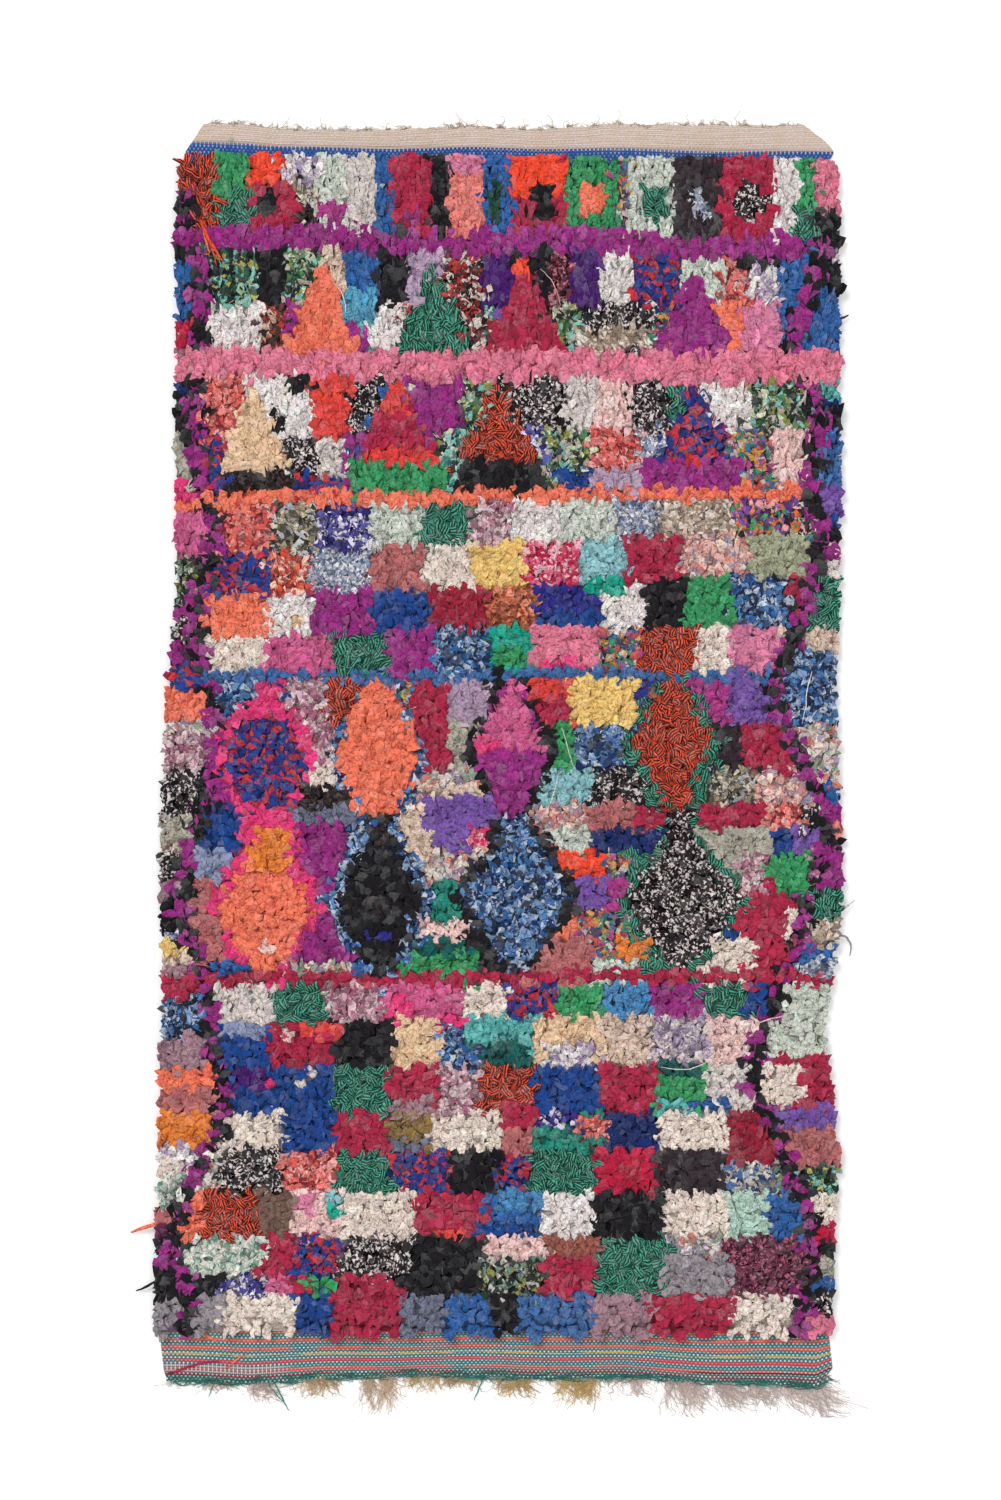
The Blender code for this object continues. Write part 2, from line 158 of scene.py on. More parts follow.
# The chart. A course runs across the rug from one edge to the other, in blocks of one cloth, each
# named with its right-hand edge. The last one reaches the rug's edge.
Course = namedtuple("Course", "top bottom blocks")
COURSES = (
    # Upright blocks under the blue band
    Course(125, 105.8, "red_stripe -54.5, green_stripe -47.5, crimson -39, beige_fleck -35,"
           " pale_mint -29.5, pale_grey -23, blue -19.8, crimson -12.5, black -8.5, salmon -2.2,"
           " blue 4, crimson 14.3, emerald 24.5, multi_fleck 27, pale_mint 36, charcoal 45,"
           " crimson 55.5, white 61, emerald 64, rose 70"),
    # Triangles on a broken ground, between the purple and the rose line
    Course(105.8, 91, "blue -59, crimson -57, dark_floral -46, black -41, green_floral -34,"
           " beige -29, blue -22.5, black -16.5, lilac -10, red_speck -1.5, deep_violet 4,"
           " black 11, maroon_fleck 15.7, deep_violet 21.3, white 27.5, blue_red_mix 37,"
           " pale_mint 46, salmon_fleck 50.5, white_lilac 56.8, blue 63, black 70"),
    Course(91, 80, "violet -60, black -57.5, white -46, red_brown_print -41, purple -26,"
           " turquoise -24.5, white -18.5, red_speck -1, teal_print 1, violet 10, green_floral 18,"
           " black_white 32, multi_fleck 36, black_white 44, coral 49, pink 57, blue 62, denim 70"),
    Course(80, 64.5, "black -60, salmon_fleck -49.5, white -43, white -35.5, red -28,"
           " black_white -20, green_floral -17, purple -6, green_floral 1, black_white 14.5,"
           " pale_grey 20.6, pale_pink 27.5, black_white 35.3, green_stripe 41, white 51,"
           " green_floral 63, turquoise 70"),
    Course(64.5, 50, "grey_green -60, blue_red_mix -52, black_white -34.5, pale_grey -29,"
           " purple -11, green_floral -9, teal_print 1, navy_print 10.5, green_floral 19.5,"
           " salmon_fleck 29.7, grey_fleck 36, purple 46, multi_fleck 55.3, pale_pink 63, blue 70"),
    # Chequers
    Course(52, 42.3, "orchid -55.3, salmon_fleck -44, beige_fleck -34.6, navy_print -24.3,"
           " pale_mint -14.3, green_stripe -4.5, mauve_fleck 3.3, white 13.2, pale_mint 24.3,"
           " grey_fleck 33.8, taupe_print 48.5, confetti 61, black_white 70"),
    Course(42.3, 34.2, "green_floral -58, blue_red_mix -44.7, rust_print -36, grey_fleck -24,"
           " dusty_rose -13.8, cream -3.7, yellow 6.3, crimson_print 17.5, sky 27,"
           " crimson 37, pink_fleck 51, sage 63, multi_fleck 70"),
    Course(34.2, 25.4, "coral -44.8, white -35.7, purple -24, cobalt -12.4, dark_crimson -1,"
           " coral_fleck 8.3, indigo 21.3, white 30.3, black 38, emerald 47.7,"
           " blue_white_print 58.7, crimson 62, cream 70"),
    Course(25.4, 17, "multi_fleck -57.5, cream -44.7, orchid -32.2, green_stripe -21, purple -11.6,"
           " blue_white_print -0.6, jade 7.8, rose 20.5, multi_fleck 29, red_stripe 40,"
           " cream 47.3, pink 56.5, beige 59, blue_white_print 70"),
    # Broken ground round the lozenges
    Course(17, 9.3, "coral -57.8, purple -54.5, blue_white_print -46.3, hot_pink -43.3,"
           " cobalt -41.5, mauve_fleck -33, red_stripe -25.5, multi_fleck -16, crimson -8.8,"
           " lilac -1, black 7.5, red 15.5, yellow 28.5, indigo 34, green_stripe 38,"
           " magenta 46.5, violet 57, blue_white_print 70"),
    Course(9.3, -0.5, "mauve_fleck -57.5, purple -54, hot_pink -40, mauve_fleck -30,"
           " blue_white_print -16.5, crimson -9, grey_green -1, orchid 8, emerald 16,"
           " blue_white_print 28.5, red_stripe 36, green_stripe 45, charcoal 49.5, crimson 61,"
           " blue 64, mauve 70"),
    Course(-0.5, -7.5, "blue -62, mauve_fleck -57, purple -52, black -40, beige_fleck -29,"
           " blue_white_print -15, cream_fleck -1.5, black 8, sky 19.5, black_white 31,"
           " green_stripe 42.5, beige_fleck 52.5, pink_fleck 63, multi_fleck 70"),
    Course(-7.5, -12.5, "black_white -57.5, cobalt -50, hot_pink -40, purple -29,"
           " blue_white_print -19, beige -13.5, violet -1, black 7.5, pink_fleck 18.9,"
           " dusty_rose 28, crimson 34, green_stripe 35.5, crimson 54, salmon_fleck 61,"
           " black_white 70"),
    Course(-12.5, -17, "black_white -60, cobalt -50, hot_pink -40, purple -29,"
           " blue_white_print -19, beige -11.5, violet -5, pink_fleck -1, black 8, pale_mint 19.5,"
           " navy 34, green_stripe 41, grey_green 55.5, cobalt 60, violet 66, black_white 70"),
    Course(-17, -22.8, "light_denim -50.5, hot_pink -40, purple -29, black -18.5, beige -12.5,"
           " cream_fleck -3, black 9, neon_red 21.5, multi_fleck 27, green_stripe 43,"
           " grey_green 49, mauve_fleck 54, emerald 63, mauve_fleck 70"),
    Course(-22.8, -28.5, "dusty_rose -52, hot_pink -46, purple -28.5, blue_white_print -14,"
           " teal -5.5, black 10, white_lilac 14, violet 23, magenta 27.5, green_stripe 47,"
           " crimson 60, purple 70"),
    Course(-28.5, -34, "dusty_rose -53, hot_pink -46, purple -28.5, blue_white_print -14,"
           " teal -6, black 10, coral 17, multi_fleck 27.5, green_stripe 45, crimson 58,"
           " cream 63, black 70"),
    Course(-34, -38.5, "dusty_rose -53, hot_pink -45, purple -28, blue_white_print -16,"
           " dark_teal -4.5, black 9, dusty_rose 20, multi_fleck 25, orange 30.5,"
           " green_stripe 44, cream 51, crimson 60, purple 62, pale_grey 70"),
    Course(-38.5, -43.5, "dusty_rose -56, blue -48, hot_pink -42, cream_fleck -28, blue -24,"
           " emerald -3, black 5, dusty_rose 19, pale_mint 30, green_stripe 41, cream 50,"
           " crimson 59, multi_fleck 70"),
    # Chequers
    Course(-43.5, -51, "mauve -55.7, pale_grey -43.2, green_stripe -33, mauve_fleck -22.4,"
           " orchid -6.2, cream 3.1, blue_red_mix 12.6, emerald 22, azure 31.5, purple 41.7,"
           " green_stripe 50.5, cobalt 55.3, pale_mint 70"),
    Course(-51, -59.6, "mauve -56, cobalt -44, crimson -32.2, black -19.2, cream_yellow -10.4,"
           " blue_white_print -2, turquoise 8.5, cream_yellow 21.3, beige 31, lavender_fleck 42.3,"
           " pale_pink 52.5, green_stripe 60, pale_mint 70"),
    Course(-59.6, -68.9, "dusty_rose -54, cobalt -32, green_stripe -20.5, crimson -11,"
           " mauve_fleck -2.4, red_stripe 8.4, cobalt 20.9, crimson 32.5, emerald 42.4,"
           " pale_grey 52, cream 59.5, crimson 70"),
    Course(-68.9, -76.4, "orange -54.5, cream -41.4, cobalt -31.5, crimson -20.8, ochre -12.4,"
           " cream 1.7, dusty_rose 8.2, teal 22, navy 32.7, cream 46.8, dark_crimson 57,"
           " dusty_rose 70"),
    Course(-76.4, -84.3, "cream_fleck -54.4, black_white -41.6, salmon_fleck -30.8,"
           " green_stripe -20.4, blue_red_mix -8, black 1, blue_red_mix 7.2, green_stripe 20.7,"
           " bright_crimson 32.3, charcoal 45.3, blue_cream_print 56, olive_print 70"),
    Course(-84.3, -93.6, "coral -57.8, red_stripe -46.8, taupe -40, pale_pink -30.3, cream -15.2,"
           " crimson -1.4, blue 9.8, white 20.3, black 33.6, cream 46.5, mint 54.7, blue 63,"
           " cream 70"),
    Course(-93.6, -97.4, "mint_fleck -45, crimson -39.5, blue_red_mix -29, black_white -16.3,"
           " black -2, pale_pink 10.7, tan 21.8, green_stripe 35.7, cream_fleck 45.7,"
           " plum_fleck 62, beige 70"),
    Course(-97.4, -101.5, "mint_fleck -47, crimson -39.5, blue_red_mix -31, black_white -16.3,"
           " black -3, olive_print 10.3, crimson 20.2, green_stripe 34, grey 47, plum_fleck 62,"
           " beige 70"),
    Course(-101.5, -104.8, "black -53.5, navy_print -45, orchid -40, crimson -37, emerald -31.5,"
           " crimson -18.5, black -3, olive_print 10, crimson 20.2, green_stripe 33.5, grey 47,"
           " plum_fleck 62, beige 70"),
    Course(-104.8, -115, "grey -54, cream -38.8, cobalt -31.4, crimson -18.4, slate -8.9, blue 0.2,"
           " black 4.9, denim 20, mauve 31.6, crimson 47.3, cream 60.8, black 70"),
)

# The courses aren't level. How far each level of the chart rises in the middle and at the right,
# against the left
Rise = namedtuple("Rise", "y middle right")
RISES = (
    Rise(105.8, -0.8, -1.8), Rise(95, 0, 0), Rise(80, 0, 0), Rise(64.5, 2.0, 2.4),
    Rise(52, 0.6, 3.0), Rise(42.3, 1.5, 3.9),
    Rise(34.2, 1.0, 3.0), Rise(25.4, 2.4, 1.7), Rise(17, 1.4, 1.4), Rise(9.3, -1.2, -1.5),
    Rise(-0.5, 0, 0), Rise(-43.5, 0, 0), Rise(-51, 1.5, 2.4), Rise(-59.6, 0.3, 0.6), Rise(-70, 0, 0),
)

# What is woven over the courses. A block's x and y are its middle, a triangle's those of its base.
Shape = namedtuple("Shape", "form cloth x y half_width height")
SHAPES = (
    # In the upright blocks
    Shape("block", "emerald", -51.2, 117.5, 3.8, 4),
    Shape("block", "neon_red", -44.5, 118.5, 4, 3.8),
    Shape("block", "white_lilac", -38.3, 118.4, 3.8, 2.8),
    Shape("block", "black_brown", -36.6, 108, 1.6, 2.2),
    Shape("spot", "black", -44.3, 111.4, 2.9, 2.6),
    Shape("spot", "magenta", -32.3, 109.6, 2.1, 2.3),
    Shape("spot", "purple", -15.5, 108.6, 1.8, 1.8),
    Shape("spot", "dark_green", 0.6, 111.5, 1.2, 4),
    Shape("block", "neon_red", 9, 117.5, 5.2, 4.2),
    Shape("spot", "black", 9.6, 113, 2.2, 2.4),
    Shape("spot", "black", 9.6, 109, 3.1, 1.8),
    Shape("spot", "coral", 19.5, 112, 2.4, 3),
    Shape("spot", "green_stripe", 32.4, 111, 2.4, 4.2),
    Shape("spot", "grey_fleck", 41, 111.4, 1.5, 3.6),
    Shape("lozenge", "black_white", 51.2, 111, 4, 4.5),
    Shape("block", "pink", -5.3, 118.6, 3, 1.6),
    Shape("block", "green_stripe", 62.8, 107.6, 2.2, 2.8),
    Shape("block", "black", 66.5, 107.5, 3, 2.2),
    # Triangles of the first course
    Shape("triangle", "coral", -34, 81, 7.4, 18.2),
    Shape("triangle", "green_stripe", -11.8, 81, 8.3, 18.2),
    Shape("triangle", "crimson", 6.5, 81, 8, 19),
    Shape("spot", "neon_red", 5.6, 98.5, 1.1, 2),
    Shape("triangle", "purple", 40.3, 81, 7.8, 17),
    Shape("block", "black", 52.8, 99.6, 3.8, 1.2),
    Shape("block", "taupe_print", 24.6, 84.6, 7.3, 2.4),
    Shape("block", "lagoon", -26.6, 90.6, 3.4, 3.4),
    # Triangles of the second course, on their bars
    Shape("block", "black_brown", -46.3, 56.2, 6.2, 2.6),
    Shape("triangle", "cream_yellow", -47.2, 58.5, 6.6, 17.6),
    Shape("block", "blue_red_mix", -34.5, 55.3, 5.8, 2.1),
    Shape("triangle", "crimson", -19, 62.5, 7, 13.5),
    Shape("triangle", "red", -19, 69.5, 3.4, 7),
    Shape("block", "red", -18.5, 61.2, 7.6, 1.5),
    Shape("block", "black", -38.2, 75, 2.5, 1.3),
    Shape("spot", "black", -42.4, 67.9, 1.2, 1.6),
    Shape("spot", "neon_red", -32.8, 72.7, 1.5, 1.1),
    Shape("spot", "blue", -21.2, 74.2, 1.6, 1.2),
    Shape("spot", "blue", -25.5, 67.4, 1.6, 0.9),
    Shape("block", "cobalt", -27.4, 60, 1.0, 2.4),
    Shape("block", "emerald", -18.9, 56.6, 9.5, 3.4),
    Shape("block", "black", 1.3, 56.6, 8.5, 3.4),
    Shape("triangle", "red_stripe", 1.3, 60, 8.6, 14.6),
    Shape("block", "cobalt", 16.6, 56, 4.2, 2.6),
    Shape("block", "lilac", 24.7, 56, 4.7, 2.6),
    Shape("block", "purple", 39.5, 57, 9.3, 3),
    Shape("triangle", "blue_red_mix", 39.8, 60, 8, 15.4),
    # Patches in the first chequers
    Shape("block", "jade", 22.4, 35.6, 3.8, 1.4),
    Shape("block", "cobalt", 15, 28.8, 6.6, 1.6),
    Shape("block", "emerald", 3.2, 21.4, 2.9, 2.1),
    Shape("spot", "hot_pink", 14, 20.2, 3.6, 1.0),
    Shape("spot", "cream_yellow", -38.4, 28.4, 0.9, 0.9),
    # Lozenges of the first row, with their outlines
    Shape("block", "taupe", 34, 15.6, 3.4, 1.1),
    Shape("block", "crimson", 11.6, 11, 3.6, 2.5),
    Shape("spot", "hot_pink", -44.9, 1.4, 9.6, 11.4),
    Shape("spot", "blue_red_mix", -45.2, 0.6, 8.0, 9.6),
    Shape("block", "hot_pink", -43.4, 13.4, 1.4, 2.6),
    Shape("block", "cream", -33.8, -1.8, 2.6, 1.9),
    Shape("block", "black_brown", -32.6, -6.2, 5.6, 2.3),
    Shape("block", "slate", -33.6, -9.6, 6.6, 1.5),
    Shape("lozenge", "blue_white_print", -22.8, 2.2, 10.0, 17.2),
    Shape("lozenge", "coral", -22.8, 2.4, 8.3, 16.4),
    Shape("lozenge", "black", 3.8, 2.6, 9.2, 16.6),
    Shape("lozenge", "purple", 3.8, 2.4, 7.2, 15.8),
    Shape("triangle", "orchid", 3.8, 3.4, 6.8, 14.4),
    Shape("spot", "hot_pink", -1.4, 3.8, 2.8, 1.7),
    Shape("lozenge", "green_stripe", 35.8, 4.4, 10.2, 15.2),
    Shape("lozenge", "red_stripe", 35.6, 5.0, 7.9, 13.2),
    Shape("block", "red_stripe", 36.0, -5.4, 2.6, 3.2),
    Shape("block", "beige", -8, -5.4, 5.6, 1.8),
    Shape("block", "violet", -6.6, -9.4, 6.8, 2.8),
    Shape("block", "crimson_print", -3.0, -13.4, 2.2, 2.2),
    # Lozenges of the second row
    Shape("lozenge", "hot_pink", -44.6, -27.4, 11.5, 16.8),
    Shape("block", "hot_pink", -43.6, -15.6, 5.4, 4.6),
    Shape("lozenge", "coral", -45.0, -28.4, 9.5, 14.4),
    Shape("block", "orange", -43.7, -16.6, 3.7, 4.2),
    Shape("spot", "pale_pink", -44.6, -36.4, 1.6, 1.2),
    Shape("lozenge", "blue_white_print", -22.4, -26.6, 11.4, 17.8),
    Shape("lozenge", "black", -22.4, -26.8, 8.5, 15.6),
    Shape("block", "black_brown", -22.2, -13.2, 1.7, 3.4),
    Shape("spot", "charcoal", -22.4, -28.4, 1.8, 1.6),
    Shape("spot", "indigo", -22.8, -34, 2.8, 1.0),
    Shape("lozenge", "black", 5.0, -25.8, 12.8, 16.8),
    Shape("lozenge", "blue_white_print", 5.0, -25.8, 10.8, 15.2),
    Shape("block", "blue_white_print", 4.6, -12.4, 3.0, 2.2),
    Shape("lozenge", "green_stripe", 37.6, -26.8, 13.0, 16.0),
    Shape("block", "green_stripe", 37.4, -13, 3.8, 4.8),
    Shape("block", "black_white", 37.4, -13, 2.6, 5.2),
    Shape("lozenge", "black_white", 37.6, -26.8, 11.4, 14.4),
    # Patches round the lozenges of the second row
    Shape("block", "pale_pink", -9.6, -32.4, 4.4, 1.9),
    Shape("block", "emerald", -9.6, -38.4, 7.2, 1.5),
    Shape("block", "mauve_fleck", 51.6, -23.6, 3.4, 1.4),
    Shape("block", "emerald", 59.4, -24.0, 3.4, 1.8),
    Shape("block", "cream", 48, -37, 4.2, 3.2),
    Shape("spot", "cobalt", 47.6, -33.4, 1.8, 1.3),
    # Patches in the last chequers
    Shape("spot", "hot_pink", -18.4, -47.6, 2.4, 2.6),
    Shape("spot", "hot_pink", -8, -50.4, 3.6, 1.0),
    Shape("block", "light_denim", -48.8, -52.2, 4.6, 1.1),
    Shape("block", "pale_pink", -41.3, -52.6, 2.0, 1.5),
    Shape("block", "red", -34.4, -52.2, 4.0, 1.4),
    Shape("block", "turquoise", 1.3, -52.4, 7.0, 2.4),
    Shape("block", "dark_teal", 3.2, -57.2, 5.2, 2.4),
    Shape("block", "white_lilac", 15.2, -57.4, 5.6, 2.4),
    Shape("block", "deep_violet", -48, -62.2, 3.6, 2.2),
    Shape("spot", "lavender_fleck", -36.4, -61.8, 2.0, 1.4),
    Shape("spot", "hot_pink", -44.4, -63, 0.9, 0.9),
    Shape("block", "mauve", -16, -67.3, 4.6, 1.8),
    Shape("block", "dark_teal", 37.3, -60, 4.8, 1.3),
    Shape("block", "turquoise", 36, -67.5, 3.4, 1.2),
    Shape("block", "blue", 43.4, -67.3, 4.0, 1.2),
    Shape("block", "cream", 57.6, -63, 4.0, 4.2),
    Shape("block", "crimson", 5.3, -69.2, 3.1, 2.3),
    Shape("block", "navy_print", 13, -70.2, 4.6, 1.3),
    Shape("block", "salmon_fleck", 20, -71.6, 2.8, 2.2),
    Shape("block", "slate", -16.8, -75.2, 4.0, 1.2),
    Shape("block", "dark_crimson", 51.4, -77.4, 4.4, 1.4),
    Shape("spot", "pink", -37, -87, 2.0, 1.8),
    Shape("block", "sky", -31.4, -86, 1.6, 1.4),
    Shape("block", "jade", -31.2, -88.4, 1.5, 1.0),
    Shape("block", "azure", 5, -86.2, 5.2, 2.0),
    Shape("block", "cobalt", 2.6, -92.0, 6.0, 1.5),
    Shape("block", "red", -9, -92.8, 3.4, 0.9),
)

# The lines that part the bands: their middle at the left and right edge of the rug, and their ends
Line = namedtuple("Line", "cloth left right half_height start stop")
LINES = (
    Line("purple", 104.2, 102.6, 2.0, -63, 62),
    Line("rose", 79.3, 78.7, 2.6, -70, 70),
    Line("coral", 52.2, 54.4, 1.15, -57, 62),
    Line("denim", 17.4, 17.8, 0.9, -57, 55.5),
    Line("crimson", -42.7, -40.9, 1.1, -66, 60),
)

# The chain of purple and black lumps down each side: its middle, from head to foot
Bend = namedtuple("Bend", "x y")
LEFT_CHAIN = (
    Bend(-58.7, 104), Bend(-57.7, 91), Bend(-58.2, 82), Bend(-59, 72), Bend(-58.7, 60.6),
    Bend(-57, 52.7), Bend(-54.9, 45), Bend(-58.6, 33), Bend(-58.6, 23), Bend(-56.3, 15.3),
    Bend(-54.1, 5.4), Bend(-56.3, -4.4), Bend(-58.5, -12.3), Bend(-60.4, -18.2), Bend(-61.6, -30),
    Bend(-59.8, -35), Bend(-57, -42.9), Bend(-56, -51.8), Bend(-55.4, -57.7), Bend(-52.9, -65.6),
    Bend(-54.7, -73.4), Bend(-57.7, -77.4), Bend(-60.6, -85.3), Bend(-62.8, -91.2),
    Bend(-63.4, -97.1), Bend(-60, -103), Bend(-61.4, -112))
RIGHT_CHAIN = (
    Bend(64.6, 104), Bend(64, 96), Bend(61.6, 91.2), Bend(60, 86.3), Bend(58.7, 82.3),
    Bend(60.6, 78.4), Bend(63.6, 73.4), Bend(65, 68.5), Bend(63.6, 60.6), Bend(63, 53.7),
    Bend(64.6, 48.8), Bend(64.8, 42.9), Bend(63, 35), Bend(60.6, 29), Bend(58.7, 23.2),
    Bend(56.1, 17.3), Bend(56.3, 11.3), Bend(59.3, 5.4), Bend(61.2, 0.5), Bend(63.6, -4.4),
    Bend(65.8, -9), Bend(65.8, -17), Bend(64.6, -22), Bend(62.2, -26), Bend(61.2, -34),
    Bend(60, -37.4), Bend(56.7, -42.9), Bend(55.9, -47.8), Bend(52.7, -53.7), Bend(51.8, -63.6),
    Bend(54.3, -69.5), Bend(57.7, -75.4), Bend(59.6, -83.3), Bend(62.6, -87.2), Bend(63.2, -98),
    Bend(62.2, -105), Bend(60.6, -112))
CHAIN_HALF_WIDTH = 1.7
CHAIN_LUMP = 2.3
# Outside the chains the rags change on their own: each cloth with the Y of its lower edge
LEFT_BORDER = (
    "red_stripe 113.9, purple 112.3, black 109.3, purple 107.5, black 100.5, blue 87.8,"
    " bright_crimson 83.3, mauve_fleck 80, rose 76, navy 73.8, black 68.5, charcoal 66.1,"
    " grey_green 55.9, hot_pink 52.7, coral 49.8, orchid 41.5, olive_print 33, black 30.7,"
    " purple 28.7, black_white 24.2, purple 20.2, blue_red_mix 14.7, coral 9, cream_fleck 7,"
    " mauve_fleck -0.9, black_white -10.7, grey_green -14.7, taupe_print -17.4,"
    " black_white -23.2, mauve -26.1, black -32.4, grey_fleck -34.4, yellow -37, beige -39.9,"
    " mauve -43.1, crimson -45.8, blue_white_print -52.9, mauve -60.4, coral -64.4,"
    " dusty_rose -68.7, orange -75.2, white_lilac -78, cream -81.5, mint_fleck -87.6,"
    " dusty_rose -90.8, plum -93.2, black -96.3, blue -97.6, purple -100, black -106, grey -120")
RIGHT_BORDER = (
    "rose 107, black 102.8, white_lilac 100, black 93.6, blue 80.7, rose 76, turquoise 72.5,"
    " navy 70.5, black 66.9, blue 64.6, denim 55.3, violet 49.8, cobalt 46.8, black 44.5,"
    " white 42.7, purple 40.3, pale_grey 37.8, green_stripe 27.5, beige 22.8,"
    " blue_white_print 8.4, cream_fleck -3.1, blue -7.4, purple -11.5, salmon -13.9,"
    " black -16.9, purple -24.2, green_stripe -29.7, taupe_print -36, blue -38.3,"
    " grey_fleck -41.9, crimson -43.5, pale_mint -57.7, crimson -67.9, violet -72.1,"
    " dusty_rose -79.4, dark_floral -84.9, cream -91.2, bright_crimson -94.5, black -97.5,"
    " grey_green -102, blue -104.4, black_white -108.9, rose -120")

# The foot band's wefts, from the pile down: each colour with the Y of its lower edge
FOOT_WEFTS = (
    ("DC6452", -112.2), ("258A8E", -113.1), ("E4685A", -113.9), ("1C8086", -114.8),
    ("E0604E", -115.6), ("1C8086", -116.4), ("DDB060", -116.8), ("208288", -117.6),
    ("D04858", -118.4), ("208288", -119.4), ("D8605C", -120.1), ("2A7C78", -120.6),
    ("9A2C48", -121.1), ("0F6E66", -126.0),
)

# The flat weave's other colours
WARP, BARE_GROUND, BLACK_YARN = "E6DAD4", "96767C", "1E1A20"
TEAL, WORN_TEAL, BLUE = "2A7C84", "3A6474", "24569E"
CREAM, CREAM_THREAD, AGED_CREAM, CREAM_FOOT = "DFCEC4", "A98F80", "CDB69C", "8E7668"
STAIN_GREEN, ROLL_TEAL = "5E8F6C", "147068"
FUZZ = (("3C8C84", 420, 0.006, 0.0), ("CDB8AA", 260, 0.012, 0.002))  # yarn, count, length, lean

# The bunches of warp ends at the foot, close to those of the part's source
Bunch = namedtuple("Bunch", "left right length lean yarn")
BUNCHES = (
    Bunch(-0.560, -0.520, 0.016, 0.002, "C9B2A6"), Bunch(-0.470, -0.432, 0.034, 0.010, "C9AFA4"),
    Bunch(-0.368, -0.318, 0.034, -0.002, "C8A878"), Bunch(-0.258, -0.192, 0.072, 0.004, "CDB193"),
    Bunch(-0.150, -0.112, 0.038, 0.002, "C9A86E"), Bunch(-0.098, -0.030, 0.020, -0.002, "C2A57C"),
    Bunch(0.014, 0.076, 0.036, 0.003, "C8A766"), Bunch(0.128, 0.206, 0.050, 0.006, "CBA968"),
    Bunch(0.254, 0.288, 0.032, 0.004, "D2BDB2"), Bunch(0.340, 0.412, 0.062, 0.016, "CDB9AE"),
    Bunch(0.424, 0.486, 0.052, 0.020, "D0BCB4"), Bunch(0.500, 0.560, 0.042, 0.024, "D2C0B8"),
    Bunch(0.576, 0.660, 0.058, 0.042, "D4C2BB"),
)
FRINGE_LIMIT, HEAD_LIMIT = -1.2850, 1.3000
YARN_STEP = 0.00070
LOCK_YARNS = 15  # yarns that curl together
LOOPY = np.array((0.5, 1.6, 0.8, 0.3, 1.2))  # how much each lock's yarns curl in loops
HEAD_YARNS = ("CDB48C", "C2A070", "D8CBBC", "B9A890")


def linear(colour):
    """A colour in Blender's linear light, from its six hexadecimal digits."""
    srgb = np.array([int(colour[i:i + 2], 16) / 255 for i in (0, 2, 4)])
    return np.where(srgb <= 0.04045, srgb / 12.92, ((srgb + 0.055) / 1.055) ** 2.4)


def rgba(colour):
    """The same as a node's colour value."""
    return (*linear(colour), 1)


# The cloths in one list, with the ball that each comes from and its colours
Cloth = namedtuple("Cloth", "ball weave dyes")
CLOTHS = {}
for ball, (weave, dyes) in RAG_BALLS.items():
    for cloth_name, colours in dyes.items():
        shades = [linear(c) for c in colours.split()]
        CLOTHS[cloth_name] = Cloth(ball, weave, shades + shades[-1:] * (3 - len(shades)))
CLOTH_NAMES = list(CLOTHS)
CLOTH_NUMBER = {name: number for number, name in enumerate(CLOTH_NAMES)}
IS_PLAIN = np.array([CLOTHS[name].weave in ("plain", "pale") for name in CLOTH_NAMES])
IS_PALE = np.array([CLOTHS[name].weave == "pale" for name in CLOTH_NAMES])
IS_BROAD = np.array([CLOTHS[name].ball in BROAD_BALLS for name in CLOTH_NAMES])


def paint(number, where, cloth):
    """Sets the cloth wherever the mask holds."""
    number[where] = CLOTH_NUMBER[cloth]


def inside(shape, x, y):
    """Which points, in centimetres, lie in a shape."""
    across = np.abs(x - shape.x) / shape.half_width
    if shape.form == "triangle":
        up = (y - shape.y) / shape.height
        return (up > 0) & (across < 1.03 - up)
    up = np.abs(y - shape.y) / shape.height
    if shape.form == "block":
        return (across < 1) & (up < 1)
    if shape.form == "lozenge":
        return across ** 1.15 + up ** 1.15 < 1
    return across ** 2 + up ** 2 < 1


def chain_middle(bends, y):
    """The X of a chain's middle at each Y."""
    return np.interp(y, [bend.y for bend in bends[::-1]], [bend.x for bend in bends[::-1]])


def paint_side(number, x, y, bends, border):
    """Sets one of the rug's borders, and the chain of dark lumps along it."""
    middle = chain_middle(bends, y)
    outer = (x - middle) * np.sign(middle) > 0
    top = np.inf
    for block in border.split(","):
        cloth, bottom = block.split()
        paint(number, outer & (y <= top) & (y > float(bottom)), cloth)
        top = float(bottom)
    lump = y / CHAIN_LUMP + 0.6 * np.sin(y * 0.7 + middle) + 0.25 * (x - middle)
    half = CHAIN_HALF_WIDTH * (1 + 0.35 * np.sin(y * 1.3 + middle))
    chain = (np.abs(x - middle) < half) & (y < 104)
    is_purple = np.floor(lump).astype(int) % 2 == 0
    paint(number, chain & is_purple, "purple")
    paint(number, chain & ~is_purple, "black")


def rise(x, y):
    """How far the courses have risen at each point, against the rug's left side."""
    levels = [step.y for step in RISES[::-1]]
    middle = np.interp(y, levels, [step.middle for step in RISES[::-1]])
    right = np.interp(y, levels, [step.right for step in RISES[::-1]])
    share = np.clip(x / 45, -1, 1)
    return np.where(share < 0, middle * (1 + share), middle + (right - middle) * share)


